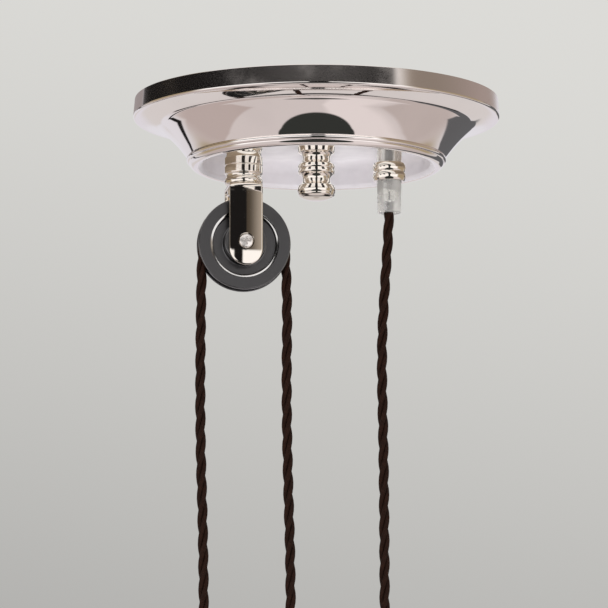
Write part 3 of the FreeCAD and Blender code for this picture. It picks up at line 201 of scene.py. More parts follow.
# the other layers, each a colour and the masks that it shows through, over those before it
for colour, *masks in (
        (BACK_PALE, fade(room, side, 118, 150)),
        # the floor side, with a lit patch at the right of the middle and shade beyond it
        (BELOW_PINK, below),
        (BELOW_LIT, below, turns(22, 88, 9)),
        (BELOW_SHADE, below, turns(97, 150, 3), fade(room, rise, -68, -60)),
        (BELOW_LEFT, below, turns(-140, -98, 2)),
        # the ceiling side, dark at the left and in front, with a white patch overhead
        (HIGH_SIDE, high, fade(room, turn, 45, 70)),
        (HIGH_PALE, high, fade(room, turn, 75, 135)),
        (DARK, high, turns(-145, 52, 2), fade(room, rise, 25, 22.5)),
        (END_GREY, fade(room, turn, -144, -147), rises(10.7, 30, 0.3)),
        (HIGH_WHITE, fade(room, rise, 54, 62)),
        # the narrow gap between the panels, and the dark disc of the stand under it
        (DARK, turns(-5, 8, 1.5), fade(room, rise, -58, -50), fade(room, rise, 24, 22)),
        (STAND_DARK, fade(room, away_from(0, -47), 29, 27.5)),
        # brown cloth at the height of the wheels, and a dark stand beside it
        (cloth, near, turns(10, 52, 1.5)),
        (DARK, near, turns(-72, 14, 1.5)),
        (NEAR_BROWN, between(room, side, 128, 154, 3), rises(2, 10.4, 0.5)),
        # the pale wall behind, under the canopy's edge
        (FLANGE_PALE, fade(room, side, 158, 165), rises(-62, -6, 3)),
        (PLATE_LILAC, fade(room, away_from(180, -10), 9, 5)),
        # dark screens at the back, left and right, and the rim of the room behind the canopy
        (FLAG_GREY, turns(140, 160, 1.2), rises(-50, 3, 1)),
        (FLAG_GREY, turns(152, 170, 1.2), rises(-13, 5, 1)),
        (DARK, turns(-147.5, -143.5, 0.7), rises(-42, 2, 2)),
        (FLANGE_BROWN, fade(room, away_from(180, -43), 6, 3)),
        (DARK, between(room, away_from(180, -36.6), 17.5, 22.5, 1), fade(room, rise, -26, -30))):
    mirrored = blend_colours(room, product(room, *masks), mirrored, colour)

# the wall that the camera sees gets lighter upwards and to the right, with pale mist at its foot
height = compute(room, "ADD", rise, product(room, east, WALL_SLOPE))
wall = blend_colours(room, fade(room, height, 5.5, 12.5), WALL_LOW, WALL_HIGH)
wall = blend_colours(room, fade(room, height, 7.0, 2.0), wall, WALL_MIST)
rays = node(room, "ShaderNodeLightPath").outputs
seen = SOFT_FILL
for ray, picture in (("Is Glossy Ray", mirrored), ("Is Transmission Ray", wall),
                     ("Is Camera Ray", wall)):
    seen = blend_colours(room, rays[ray], seen, picture)
shine = node(room, "ShaderNodeBackground", (seen, 1.0))
node(room, "ShaderNodeOutputWorld", (shine.outputs[0],))


def soft_panel(name, place, target, watts):
    """A square panel of soft light, which metal doesn't mirror by itself."""
    lamp = add_object(name, bpy.data.lights.new(name, "AREA"))
    lamp.data.size = PANEL_WIDTH
    lamp.data.energy = watts
    lamp.location = place
    lamp.rotation_euler = (Vector(target) - Vector(place)).to_track_quat("-Z", "Y").to_euler()
    lamp.visible_glossy = False


soft_panel("left_panel", (-1.8, -1.9, 0.2), (0, 0, -0.2), 26)
soft_panel("right_panel", (2.0, -1.4, -0.4), (0, 0, -0.2), 14)
soft_panel("low_panel", (0.3, -1.1, -1.7), (0, 0, -0.1), 15)


def material(name, **constants):
    """A new material, its node tree and its surface shader, with constants on the shader."""
    made = bpy.data.materials.new(name)
    made.use_nodes = True
    shader = made.node_tree.nodes["Principled BSDF"]
    for label, value in constants.items():
        shader.inputs[label.replace("_", " ")].default_value = value
    return made, made.node_tree, shader


def mesh_piece(name, shape, finish, body, *stands_for, slot=None):
    """Turn a bmesh into a piece with its finish, and hide the solids that it stands for.

    It rides on its body, or on none while it is still to be cut; the free lengths of flex stay on
    none.
    """
    bmesh.ops.recalc_face_normals(shape, faces=shape.faces)
    data = bpy.data.meshes.new(name)
    shape.to_mesh(data)
    shape.free()
    data.polygons.foreach_set("use_smooth", [True] * len(data.polygons))
    data.materials.append(finish)
    piece = add_object(name, data)
    if body is not None:
        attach(piece, body)
    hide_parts(*stands_for)
    return piece


floor_paint, tree, shader = material("pale_floor", Base_Color=(0.74, 0.73, 0.71, 1), Roughness=0.9)
# the floor's underside lets a view from below through
under = node(tree, "ShaderNodeMixShader", (
    node(tree, "ShaderNodeNewGeometry").outputs["Backfacing"], shader.outputs[0],
    node(tree, "ShaderNodeBsdfTransparent").outputs[0]))
tree.links.new(under.outputs[0], tree.nodes["Material Output"].inputs[0])
floor = add_object("floor", bpy.data.meshes.new("floor"))
floor.data.from_pydata([(FLOOR_HALF * x, FLOOR_HALF * y, -FLOOR_DROP)
                        for x, y in ((-1, -1), (1, -1), (1, 1), (-1, 1))], [], [(0, 1, 2, 3)])
floor.data.materials.append(floor_paint)
floor.visible_glossy = False


# ------------------------------------------------------------------ twisted flex
# Three braided rayon strands, twisted together to the right. The flex leaves the canopy's grip,
# runs down under the counterweight's wheel, up over the ceiling wheel and down to the lampholder.

STRANDS = 3
STRAND_RADIUS = 1.22
STRAND_CIRCLE = 1.38
TWIST_PITCH = 34.0
STRAND_SIDES = 12
FLEX_STEP = 1.0
ROUTE_RESOLUTION = 24
BRAID_CELLS = 12
BRAID_DEEP = 0.00012
FLEX_BROWN = (0.0125, 0.0046, 0.0028)
# the colour of the painted highlight on the crowns of the yarns
FLEX_CROWN_HIGHLIGHT = (0.029, 0.0115, 0.0068)

CEILING_AXLE = Vector((-35.7, 0.0, -72.5))
WEIGHT_AXLE = Vector((10.05, 0.0, -330.0))
GRIP_FOOT = -56.7
LAMP_TOP = -395.0
WHEEL_YAW = math.radians(7.0)

flex_route = [Vector(point) for point in (
    (35.7, 0, -15.0), (35.7, 0, -42.0), (35.5, 0, -64.0), (33.4, 0.2, -94.0),
    (31.7, 0.2, -126.0), (32.9, 0, -178.0), (33.3, 0, -262.0), (33.1, 0, -300.0),
    # under the counterweight's wheel
    (33.10, 0, -336.18), (26.92, 0, -346.87), (16.23, 0, -353.05),
    (3.87, 0, -353.05), (-6.82, 0, -346.87), (-13.00, 0, -336.18),
    # up to the ceiling wheel
    (-13.0, 0.1, -300.0), (-12.4, 0.7, -238.0), (-14.2, 1.6, -180.0),
    (-14.7, 2.1, -138.0), (-14.2, 2.4, -103.0),
    # over the ceiling wheel
    (-15.65, 2.46, -67.09), (-21.02, 1.80, -57.71), (-30.33, 0.66, -52.30),
    (-41.07, -0.66, -52.30), (-50.38, -1.80, -57.71), (-55.75, -2.46, -67.09),
    # down to the lampholder
    (-56.6, -2.5, -103.0), (-56.9, -2.4, -165.0), (-55.3, -2.3, -215.0),
    (-54.8, -2.4, -264.0), (-55.75, -2.46, -345.0), (-55.75, -2.46, -432.3))]


def smooth_line(points, step):
    """Evenly spaced points, in millimetres, on the smooth curve that the route gives."""
    curve = bpy.data.curves.new("route", "CURVE")
    curve.dimensions = "3D"
    curve.resolution_u = ROUTE_RESOLUTION
    spline = curve.splines.new("NURBS")
    spline.points.add(len(points) - 1)
    for place, point in zip(spline.points, points):
        place.co = (*point, 1)
    spline.order_u = 3
    spline.use_endpoint_u = True
    holder = bpy.data.objects.new("route", curve)
    traced = bpy.data.meshes.new_from_object(holder)
    line = [vertex.co.copy() for vertex in traced.vertices]
    bpy.data.objects.remove(holder)
    bpy.data.curves.remove(curve)
    bpy.data.meshes.remove(traced)
    reached = [0.0]
    for before, after in zip(line, line[1:]):
        reached.append(reached[-1] + (after - before).length)
    count = round(reached[-1] / step)
    even, run = [], 0
    for number in range(count + 1):
        wanted = reached[-1] * number / count
        while run < len(line) - 2 and reached[run + 1] < wanted:
            run += 1
        share = (wanted - reached[run]) / max(reached[run + 1] - reached[run], 1e-9)
        even.append(line[run].lerp(line[run + 1], min(share, 1.0)))
    return even


flex_line = smooth_line(flex_route, FLEX_STEP)

# the directions across the flex, carried along it without twist
flex_ahead, flex_across = [], []
for number, point in enumerate(flex_line):
    before = flex_line[max(number - 1, 0)]
    after = flex_line[min(number + 1, len(flex_line) - 1)]
    ahead = (after - before).normalized()
    across = flex_across[-1] if flex_across else Vector((1, 0, 0))
    flex_ahead.append(ahead)
    flex_across.append((across - ahead * across.dot(ahead)).normalized())


def first_point(skipped, lies_past):
    """The number of the flex's first point that lies past a place, with the start skipped."""
    return next(number for number, point in enumerate(flex_line)
                if number > skipped and lies_past(point))


# one length of the flex ends and the next begins inside the grip, under the ceiling wheel's axle
# and inside the lampholder's grip; the search skips the points of the run before
INSIDE_GRIP = 4.0
UNDER_AXLE = 4.0
INSIDE_HOLDER = 3.0
SKIPPED_FALL = 300
SKIPPED_TURN = 60
grip_end = first_point(0, lambda point: point.z < GRIP_FOOT + INSIDE_GRIP)
wheel_side = first_point(grip_end + SKIPPED_FALL,
                         lambda point: point.z > CEILING_AXLE.z - UNDER_AXLE)
lamp_end = first_point(wheel_side + SKIPPED_TURN, lambda point: point.z < LAMP_TOP - INSIDE_HOLDER)


def node_group(name, result, *numbers):
    """A new node group, with a vector and numbers to put in, and the sockets that bring them."""
    tree = bpy.data.node_groups.new(name, "ShaderNodeTree")
    tree.interface.new_socket("Vector", in_out="INPUT", socket_type="NodeSocketVector")
    for label in numbers:
        tree.interface.new_socket(label, in_out="INPUT", socket_type="NodeSocketFloat")
    tree.interface.new_socket(result, in_out="OUTPUT", socket_type="NodeSocketFloat")
    return tree, tree.nodes.new("NodeGroupInput").outputs


# grain that isn't the same from place to place: a group used by many finishes
speckle, given = node_group("speckle", "Mask", "Scale", "Detail", "Low", "High")
noise = node(speckle, "ShaderNodeTexNoise",
             (given["Vector"], None, given["Scale"], given["Detail"]))
node(speckle, "NodeGroupOutput", (fade(speckle, noise.outputs[0], given["Low"], given["High"]),))

# braided yarns that cross over and under, as a height
braid, given = node_group("braid", "Height", "Cells")
spot = node(braid, "ShaderNodeSeparateXYZ", (given["Vector"],)).outputs
round_it = product(braid, spot[0], given["Cells"])
along_it = product(braid, spot[1], given["Cells"])
cells, crowns = [], []
for operation in ("ADD", "SUBTRACT"):
    diagonal = compute(braid, operation, round_it, along_it)
    cells.append(compute(braid, "FLOOR", diagonal))
    crowns.append(compute(braid, "SINE", product(braid, compute(braid, "FRACT", diagonal), math.pi)))
turned_over = compute(braid, "FLOORED_MODULO", compute(braid, "ADD", *cells), 2.0)
upper = node(braid, "ShaderNodeMix", (turned_over, None, *crowns))
node(braid, "NodeGroupOutput", (upper.outputs[0],))


def grouped(tree, group, vector, **values):
    """Place a node group in a material, with this material's own values."""
    made = node(tree, "ShaderNodeGroup", (vector,), node_tree=group)
    for label, value in values.items():
        made.inputs[label].default_value = value
    return made.outputs[0]


def clouds(tree, scale, detail, low=0.3, high=0.7):
    """Speckles that stay in their place on the piece, as a mask."""
    place = node(tree, "ShaderNodeTexCoord").outputs["Object"]
    return grouped(tree, speckle, place, Scale=scale, Detail=detail, Low=low, High=high)


def surface_place(tree):
    """The place round and along the piece, from the map laid on its mesh."""
    return node(tree, "ShaderNodeUVMap", uv_map="surface").outputs[0]


def dress(tree, shader, colour, blur, height, deep):
    """Feed a shader its colour and roughness, and a height that stands out by this many metres."""
    bump = node(tree, "ShaderNodeBump")
    bump.inputs["Distance"].default_value = deep
    tree.links.new(height, bump.inputs["Height"])
    for socket, label in ((colour, "Base Color"), (blur, "Roughness"), (bump.outputs[0], "Normal")):
        tree.links.new(socket, shader.inputs[label])


flex_rayon, tree, shader = material("flex_rayon", Sheen_Weight=0.03, Specular_IOR_Level=0.12,
                                    Sheen_Roughness=0.4, Sheen_Tint=(0.45, 0.30, 0.22, 1))
# the yarns' crowns are painted lighter and the hollows between them darker: painted highlight and
# painted shade, over clouds of uneven tone
yarn_height = grouped(tree, braid, surface_place(tree), Cells=BRAID_CELLS)
faded = clouds(tree, 420.0, 3.0, 0.35, 0.75)
painted_light = product(tree, yarn_height, fade(tree, faded, 0.0, 1.0, 0.35, 1.0))
dress(tree, shader, blend_colours(tree, painted_light, FLEX_BROWN, FLEX_CROWN_HIGHLIGHT),
      fade(tree, faded, 0.0, 1.0, 0.52, 0.68), yarn_height, BRAID_DEEP)


def circle(count):
    """The cosines and sines of directions evenly spaced round a circle."""
    return [(math.cos(math.tau * number / count), math.sin(math.tau * number / count))
            for number in range(count)]


def skin(shape, rows, places, columns, place_first=False):
    """Join rows of points by faces, and map them by a value for each column and each row's place.

    A row may be a single point, and a vertex may be in more than one row.
    """
    surface = shape.loops.layers.uv["surface"]
    for low, high, start, end in zip(rows, rows[1:], places, places[1:]):
        for number, (near, far) in enumerate(zip(columns, columns[1:])):
            spots = {}
            for row, column, value, place in (
                    (low, number, near, start), (low, number + 1, far, start),
                    (high, number + 1, far, end), (high, number, near, end)):
                spot = (place, value) if place_first else (value, place)
                spots.setdefault(row[column % len(row)], spot)
            if len(spots) > 2:
                for loop in shape.faces.new(list(spots)).loops:
                    loop[surface].uv = spots[loop.vert]


def flex_length(name, first, final, body, *stands_for):
    """Three twisted strands along one length of the flex line, closed at both ends."""
    shape = bmesh.new()
    shape.loops.layers.uv.new("surface")
    for strand in range(STRANDS):
        rings = []
        for number in range(first, final + 1):
            ahead, across = flex_ahead[number], flex_across[number]
            angle = math.tau * (number * FLEX_STEP / TWIST_PITCH + strand / STRANDS)
            outward = across * math.cos(angle) + ahead.cross(across) * math.sin(angle)
            sideways = ahead.cross(outward)
            middle = flex_line[number] + outward * STRAND_CIRCLE
            rings.append([shape.verts.new(
                (middle + (outward * cosine + sideways * sine) * STRAND_RADIUS) * MM)
                for cosine, sine in circle(STRAND_SIDES)])
        skin(shape, rings, [number * FLEX_STEP / (math.tau * STRAND_RADIUS)
                            for number in range(first, final + 1)],
             [corner / STRAND_SIDES for corner in range(STRAND_SIDES + 1)])
        shape.faces.new(rings[0])
        shape.faces.new(rings[-1])
    return mesh_piece(name, shape, flex_rayon, body, *stands_for, slot="twisted_flex")


def free_run(name, first, final, far_body, far_end, *stands_for):
    """A length of flex laid along its path, with its place baked into its mesh, and on no body."""
    run = flex_length(name, first, final, None, *stands_for)
    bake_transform(run)


flex_length("flex_in_canopy", 0, grip_end, "root", "flex_canopy_tail")
free_run("weight_flex", grip_end, wheel_side, "counterweight", -0.345,
         "flex_feed_run", "flex_weight_loop", "flex_middle_run")
free_run("lamp_flex", wheel_side, lamp_end, "lampholder", -0.392,
         "flex_ceiling_loop", "flex_lamp_run")
flex_length("flex_in_holder", lamp_end, len(flex_line) - 1, "lampholder", "flex_lamp_tail")


# ------------------------------------------------------------------ canopy
# A dish spun from one sheet of steel and plated with bright nickel: a brushed rim band, a sloping
# flange, a hollow cone, two rolled beads, and a recessed plate that the finial holds up.

RIM_RADIUS = 90.0
RIM_DRAFT = 0.8
RIM_TOP = RIM_RADIUS - RIM_DRAFT
BAND_FOOT = -8.75
RECESS_RADIUS = 56.0
PLATE_RADIUS = 50.0
PLATE_TOP = -20.3
PLATE_FOOT = -21.3
SATIN_REACH = 58.2
STUD_HOLE = 3.05
STEM_HOLE = 5.05
PULLEY_SPOT = -35.7
GRIP_SPOT = 35.7
CANOPY_SEGMENTS = 336

ON_AXIS = 1e-6
SHARP_CORNER = 14.0
LONG_EDGE = 1.2
EDGE_HOLD = 0.12


def walk_outline(steps, soften, arc_degrees=4.0):
    """The points round a turned section, walked clockwise.

    A step is a radius, a height and, if the edge that leads there is an arc, how far that arc
    swells out of its chord. Sharp corners are eased, and long edges get a point near each end.
    """
    points = []
    for number, step in enumerate(steps):
        start, end = Vector(steps[number - 1][:2]), Vector(step[:2])
        bow = step[2] if len(step) > 2 else 0.0
        if bow:
            chord = end - start
            radius = (chord.length ** 2 / 4 + bow * bow) / (2 * abs(bow))
            half = math.asin(min(chord.length / 2 / radius, 1.0))
            pieces = max(4, math.ceil(math.degrees(half) * 2 / arc_degrees))
            outward = Vector((-chord.y, chord.x)).normalized() * (1 if bow > 0 else -1)
            centre = (start + end) / 2 - outward * (radius - abs(bow))
            for piece in range(1, pieces):
                angle = half * (2 * piece / pieces - 1)
                points.append((centre + outward * radius * math.cos(angle)
                               + chord.normalized() * radius * math.sin(angle), True))
        points.append((end, bool(bow)))
    eased = []
    for number, (corner, curved) in enumerate(points):
        back = points[number - 1][0] - corner
        ahead = points[(number + 1) % len(points)][0] - corner
        if corner.x <= ON_AXIS or math.degrees(math.pi - back.angle(ahead)) <= SHARP_CORNER:
            eased.append((corner, curved))
            continue
        reach = min(soften, back.length * 0.45, ahead.length * 0.45)
        first = corner + back.normalized() * reach
        final = corner + ahead.normalized() * reach
        for share in (0.0, 0.3, 0.7, 1.0):
            eased.append((first.lerp(corner, share).lerp(corner.lerp(final, share), share),
                          curved or share > 0))
    held = []
    for number, (point, _) in enumerate(eased):
        following, curved = eased[(number + 1) % len(eased)]
        held.append(point)
        span = following - point
        if not curved and span.length > LONG_EDGE and max(point.x, following.x) > ON_AXIS:
            held.append(point + span.normalized() * EDGE_HOLD)
            held.append(following - span.normalized() * EDGE_HOLD)
    return held


def turned_shape(outline, segments, where=Matrix.Identity(4)):
    """A closed shape turned from an outline, with a map of turns round it and millimetres along."""
    shape = bmesh.new()
    shape.loops.layers.uv.new("surface")
    rings, reached = [], [0.0]
    for number, point in enumerate(outline):
        reached.append(reached[-1] + (outline[(number + 1) % len(outline)] - point).length)
        directions = circle(segments) if point.x > ON_AXIS else [(0.0, 0.0)]
        rings.append([shape.verts.new(where @ Vector((point.x * cosine, point.x * sine, point.y)))
                      for cosine, sine in directions])
    skin(shape, rings + rings[:1], reached, [turn_at / segments for turn_at in range(segments + 1)])
    return shape


def at(x, y, z, yaw=0.0, roll=0.0):
    """Place a shape given in millimetres: tipped about X, turned about Z, then moved."""
    return (Matrix.Translation(Vector((x, y, z)) * MM) @ Matrix.Rotation(yaw, 4, "Z")
            @ Matrix.Rotation(roll, 4, "X") @ Matrix.Scale(MM, 4))


def turned_piece(name, stands_for, steps, finish, body, where, segments=128, soften=0.12,
                 arc_degrees=4.0):
    """A piece turned from its outline's steps."""
    shape = turned_shape(walk_outline(steps, soften, arc_degrees), segments, where)
    return mesh_piece(name, shape, finish, body, stands_for)


CRISP_ANGLE = math.radians(32)
CUTTER_SIDES = 64
CUT_MARGIN = 2.0


def cut_away(piece, body, *cutters):
    """Cut solid shapes out of a piece, keep its new edges crisp, and let it ride on its body."""
    for cutter in cutters:
        bmesh.ops.recalc_face_normals(cutter, faces=cutter.faces)
        data = bpy.data.meshes.new("cutter")
        cutter.to_mesh(data)
        cutter.free()
        tool = add_object("cutter", data)
        cut = piece.modifiers.new("cut", "BOOLEAN")
        cut.object = tool
        cut.solver = "EXACT"
        bpy.context.view_layer.update()
        whole = bpy.data.meshes.new_from_object(
            piece.evaluated_get(bpy.context.evaluated_depsgraph_get()))
        piece.modifiers.clear()
        finishes = list(piece.data.materials)
        piece.data = whole
        whole.materials.clear()
        for finish in finishes:
            whole.materials.append(finish)
        bpy.data.objects.remove(tool)
    piece.data.polygons.foreach_set("use_smooth", [True] * len(piece.data.polygons))
    piece.data.set_sharp_from_angle(angle=CRISP_ANGLE)
    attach(piece, body)


def round_cutter(radius, low, high, where):
    """A plain round bar to cut with."""
    outline = [Vector(point) for point in ((0, high), (radius, high), (radius, low), (0, low))]
    return turned_shape(outline, CUTTER_SIDES, where)


# fine lines that turning and buffing leave round a piece, as a height
buffing, given = node_group("buffing", "Height", "Lines", "Length")
spot = node(buffing, "ShaderNodeSeparateXYZ", (given["Vector"],)).outputs
round_it = product(buffing, spot[0], math.tau)
drawn = node(buffing, "ShaderNodeCombineXYZ", (
    product(buffing, compute(buffing, "COSINE", round_it), given["Length"]),
    product(buffing, compute(buffing, "SINE", round_it), given["Length"]),
    product(buffing, spot[1], given["Lines"])))
noise = node(buffing, "ShaderNodeTexNoise", (drawn.outputs[0], None, 1.0, 2.0))
node(buffing, "NodeGroupOutput", (noise.outputs[0],))


def plated(name, colour, smooth, rough, lines_deep, tint=None, lines=5.0, length=1.5):
    """Bright plate: a faint bloom from handling, and the lines of buffing under it."""
    made, tree, shader = material(name, Metallic=1.0)
    bloom = clouds(tree, 34.0, 4.0, 0.42, 0.72)
    specks = clouds(tree, 900.0, 2.0, 0.66, 0.74)
    cast = blend_colours(tree, bloom, colour, tint or tuple(value * 0.965 for value in colour))
    blur = compute(tree, "ADD", fade(tree, bloom, 0.0, 1.0, smooth, rough),
                   product(tree, specks, 0.03))
    dress(tree, shader, cast, blur,
          grouped(tree, buffing, surface_place(tree), Lines=lines, Length=length), lines_deep)
    return made


canopy_nickel = plated("canopy_nickel", (0.93, 0.885, 0.865), 0.03, 0.06, 0.000001)
brushed_nickel = plated("brushed_nickel", (0.80, 0.745, 0.715), 0.09, 0.15, 0.000001,
                        lines=14.0, length=3.5)

# the recess isn't buffed: a paler, mottled satin, which also carries a painted reflection and a
# painted glow, made below
satin_and_painted_reflections, tree, shader = material("satin_and_painted_reflections", Metallic=0.25, Emission_Strength=0.3)
mottled = clouds(tree, 150.0, 4.0)
plain = blend_colours(tree, mottled, (0.90, 0.87, 0.91), (0.86, 0.83, 0.87))
# in the polished pieces that stand in it, the recess shows a painted reflection instead: two white
# panels that glow, dark gaps and beige walls; their edges are given in turns round the canopy, from
# its left side
PANEL_EDGES = (0.060, 0.440)
PANEL_SOFT = 0.006
GAPS = (0.136, 0.25, 0.364)
GAP_HALF = 0.023
GAP_SOFT = 0.004
PAINTED_REFLECTION_BEIGE = (0.45, 0.37, 0.28)
PAINTED_REFLECTION_WHITE = (1.0, 0.99, 0.97)
PAINTED_PANEL_GLOW = (1.0, 0.98, 0.96)
folded = compute(tree, "ABSOLUTE", compute(tree, "SUBTRACT", node(
    tree, "ShaderNodeSeparateXYZ", (surface_place(tree),)).outputs[0], 0.5))
painted_panels = between(tree, folded, *PANEL_EDGES, PANEL_SOFT)
side_gap, middle_gap, far_gap = (
    between(tree, folded, gap - GAP_HALF, gap + GAP_HALF, GAP_SOFT) for gap in GAPS)
painted_gaps = compute(tree, "MAXIMUM", compute(tree, "MAXIMUM", side_gap, middle_gap), far_gap)
in_mirror = node(tree, "ShaderNodeLightPath").outputs["Is Glossy Ray"]
painted_studio = blend_colours(tree, painted_panels, PAINTED_REFLECTION_BEIGE, PAINTED_REFLECTION_WHITE)
painted_studio = blend_colours(tree, painted_gaps, painted_studio, DARK)
painted_light = product(tree, in_mirror, painted_panels, compute(tree, "SUBTRACT", 1.0, painted_gaps))
# the painted white panels glow where the recess is seen in a reflection: painted light
tree.links.new(blend_colours(tree, painted_light, (0, 0, 0), PAINTED_PANEL_GLOW), shader.inputs["Emission Color"])
dress(tree, shader, blend_colours(tree, in_mirror, plain, painted_studio),
      fade(tree, mottled, 0.0, 1.0, 0.42, 0.52), clouds(tree, 1600.0, 2.0), 0.000005)

canopy = turned_piece("canopy", "canopy_shell", [
    (RIM_TOP, 0), (RIM_RADIUS, -8.6), (88.8, -9.8, 0.35), (78.6, -12.75, -0.32),
    (76.1, -14.7, -0.22), (63.3, -29.2, -0.72), (62.5, -31.6, 0.80), (59.5, -34.1, 0.68),
    (RECESS_RADIUS, -32.1, 0.54), (RECESS_RADIUS, -27.3), (PLATE_RADIUS, PLATE_FOOT, -1.76),
    (STUD_HOLE, PLATE_FOOT), (STUD_HOLE, PLATE_TOP), (PLATE_RADIUS, PLATE_TOP), (57.0, -27.3, 2.05),
    (57.0, -31.6), (59.5, -33.1), (61.5, -31.1), (62.3, -28.7), (76.6, -12.4, 0.96),
    (88.4, -8.8), (RIM_TOP - 1, -8.1), (RIM_TOP - 1, 0),
], canopy_nickel, None, at(0, 0, 0), CANOPY_SEGMENTS, 0.16, 3.0)
cut_away(canopy, "root", *(round_cutter(STEM_HOLE, PLATE_FOOT - CUT_MARGIN, PLATE_TOP + CUT_MARGIN,
                                        at(x, 0, 0)) for x in (PULLEY_SPOT, GRIP_SPOT)))
canopy.data.materials.append(brushed_nickel)
canopy.data.materials.append(satin_and_painted_reflections)
for face in canopy.data.polygons:
    out, height = math.hypot(face.center.x, face.center.y) / MM, face.center.z / MM
    if out > RIM_TOP - 0.3 and height > BAND_FOOT:
        face.material_index = 1
    elif out < SATIN_REACH:
        face.material_index = 2


# ------------------------------------------------------------------ finial
# A turned nickel nut on the centre stud: a flare, two necks, a double band and a domed foot.
# It is screwed up by hand against a thin white washer, and holds the canopy to its strap.

FINIAL_TOP = -21.9

turned_nickel = plated("turned_nickel", (0.88, 0.825, 0.765), 0.03, 0.06, 0.0000015)


def lowered(top, *steps):
    """Steps given by their depth under a top."""
    return [(step[0], top - step[1], *step[2:]) for step in steps]


turned_piece("canopy_finial", "finial", lowered(
    FINIAL_TOP, (STUD_HOLE, 0), (8.85, 0), (8.95, 1.9, 0.02), (8.85, 4.55), (8.6, 4.75, 0.03),
    (8.6, 10.6, -1.95), (8.6, 12.95, 0.42), (8.6, 15.3, 0.42), (8.6, 21.2, -1.95),
    (8.85, 21.7, 0.06), (8.9, 25.3, 0.50), (8.1, 26.6, 0.25), (0, 28.5, 0.62), (0, 22.45),
    (STUD_HOLE, 22.45)), turned_nickel, "root", at(0, 0, 0))


def cloudy(name, colours, blurs, coarse, fine, grain, **constants):
    """A finish with clouds of colour and gloss over a fine grain, each with a scale and a detail."""
    made, tree, shader = material(name, **constants)
    patches = clouds(tree, *coarse)
    dress(tree, shader, blend_colours(tree, patches, *colours),
          fade(tree, patches, 0.0, 1.0, *blurs), clouds(tree, *fine), grain)
    return made


def moulded(name, colour, paler, smooth, rough, grain=0.000006, clear=0.0):
    """Moulded plastic: clouds of colour under a faint orange-peel skin."""
    return cloudy(name, (colour, paler), (smooth, rough), (160.0, 3.0), (1500.0, 2.0), grain,
                  Transmission_Weight=clear, IOR=1.5)


def paint(finish, *names):
    """Give a finish to pieces whose solids stay as they are."""
    for name in names:
        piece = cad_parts[name]
        piece.data.materials.clear()
        piece.data.materials.append(finish)


white_nylon = moulded("white_nylon", (0.78, 0.77, 0.74), (0.70, 0.69, 0.66), 0.35, 0.48)
paint(white_nylon, "finial_washer")


# ------------------------------------------------------------------ ceiling fixings
# Hidden above the canopy: a zinc plated strap screwed to the ceiling, its threaded stud, the
# locknuts of the pulley and the grip, and a three-pole terminal block with brass tubes.


def cast_metal(name, colour, worn, smooth, rough, grain):
    """Plain metal that isn't buffed: cloudy colour, uneven gloss and a fine grain."""
    return cloudy(name, (colour, worn), (smooth, rough), (220.0, 4.0), (1980.0, 3.0), grain,
                  Metallic=1.0)


zinc_steel = cast_metal("zinc_steel", (0.60, 0.61, 0.62), (0.45, 0.45, 0.46), 0.28, 0.42, 0.00001)
brass = cast_metal("brass", (0.78, 0.56, 0.26), (0.66, 0.45, 0.19), 0.18, 0.32, 0.000006)
bronze = cast_metal("bronze", (0.55, 0.36, 0.20), (0.44, 0.28, 0.15), 0.30, 0.45, 0.00001)
raw_iron = cast_metal("raw_iron", (0.17, 0.165, 0.16), (0.11, 0.10, 0.10), 0.48, 0.65, 0.00003)
block_plastic = moulded("block_plastic", (0.80, 0.79, 0.74), (0.74, 0.73, 0.68), 0.32, 0.42)
paint(zinc_steel, "ceiling_strap", "centre_stud", "stud_nut", "plate_washers", "plate_locknuts",
      "strap_screws", "pulley_stem", "terminal_screws")
paint(brass, "terminal_tubes")
paint(block_plastic, "terminal_block")
for core, label, colour, other in (
        ("core_live", "core_brown", (0.16, 0.060, 0.026), (0.13, 0.050, 0.022)),
        ("core_neutral", "core_blue", (0.040, 0.13, 0.42), (0.034, 0.11, 0.36)),
        ("core_earth", "core_green", (0.10, 0.34, 0.045), (0.45, 0.42, 0.03))):
    paint(moulded(label, colour, other, 0.30, 0.38), core)


# ------------------------------------------------------------------ pulley collar
# A turned nickel drum with a flared top and a waisted foot, clamped between the canopy's plate
# and the yoke by the threaded stem inside it.

COLLAR_HEIGHT = 21.2
turned_piece("collar_drum", "pulley_collar", lowered(
    PLATE_FOOT, (STEM_HOLE, 0), (9.1, 0), (9.25, 2.0, 0.02), (9.1, 3.9), (8.9, 4.1),
    (8.9, 7.6, -0.42), (9.2, 7.9), (9.35, 8.2), (9.35, 11.75), (9.05, 11.95), (9.05, 12.2),
    (9.35, 12.4), (9.35, 15.7), (9.2, 16.1), (8.95, 16.2), (8.95, 18.4, -0.45), (9.1, 18.6),
    (9.1, 21.15, 0.33), (STEM_HOLE, COLLAR_HEIGHT)), turned_nickel, "root", at(PULLEY_SPOT, 0, 0))


# ------------------------------------------------------------------ yokes
# A domed nickel strap bent into a U round each wheel, with round ends. The upper one hangs on
# the collar's stem, and the counterweight hangs in the other, which stands the other way up.

YOKE_GAP = 19.6
YOKE_THICKNESS = 2.3
YOKE_CROWN = 0.9
YOKE_HALF_WIDTH = 8.15
YOKE_BEND = 2.0
YOKE_END_CENTRE = -3.65
YOKE_SOFT = 0.3
YOKE_MAP = 300.0
CROWN_STEPS = 12
LEG_STEPS = 8
BEND_STEPS = 8
END_STEPS = 24
AXLE_HOLE = 2.55
WELL_RADIUS = 3.95
WELL_FLOOR = 11.2
YOKE_FACE = YOKE_GAP / 2 + YOKE_THICKNESS
CEILING_REACH = 30.0
WEIGHT_REACH = 32.85
QUARTER_TURN = math.radians(90)


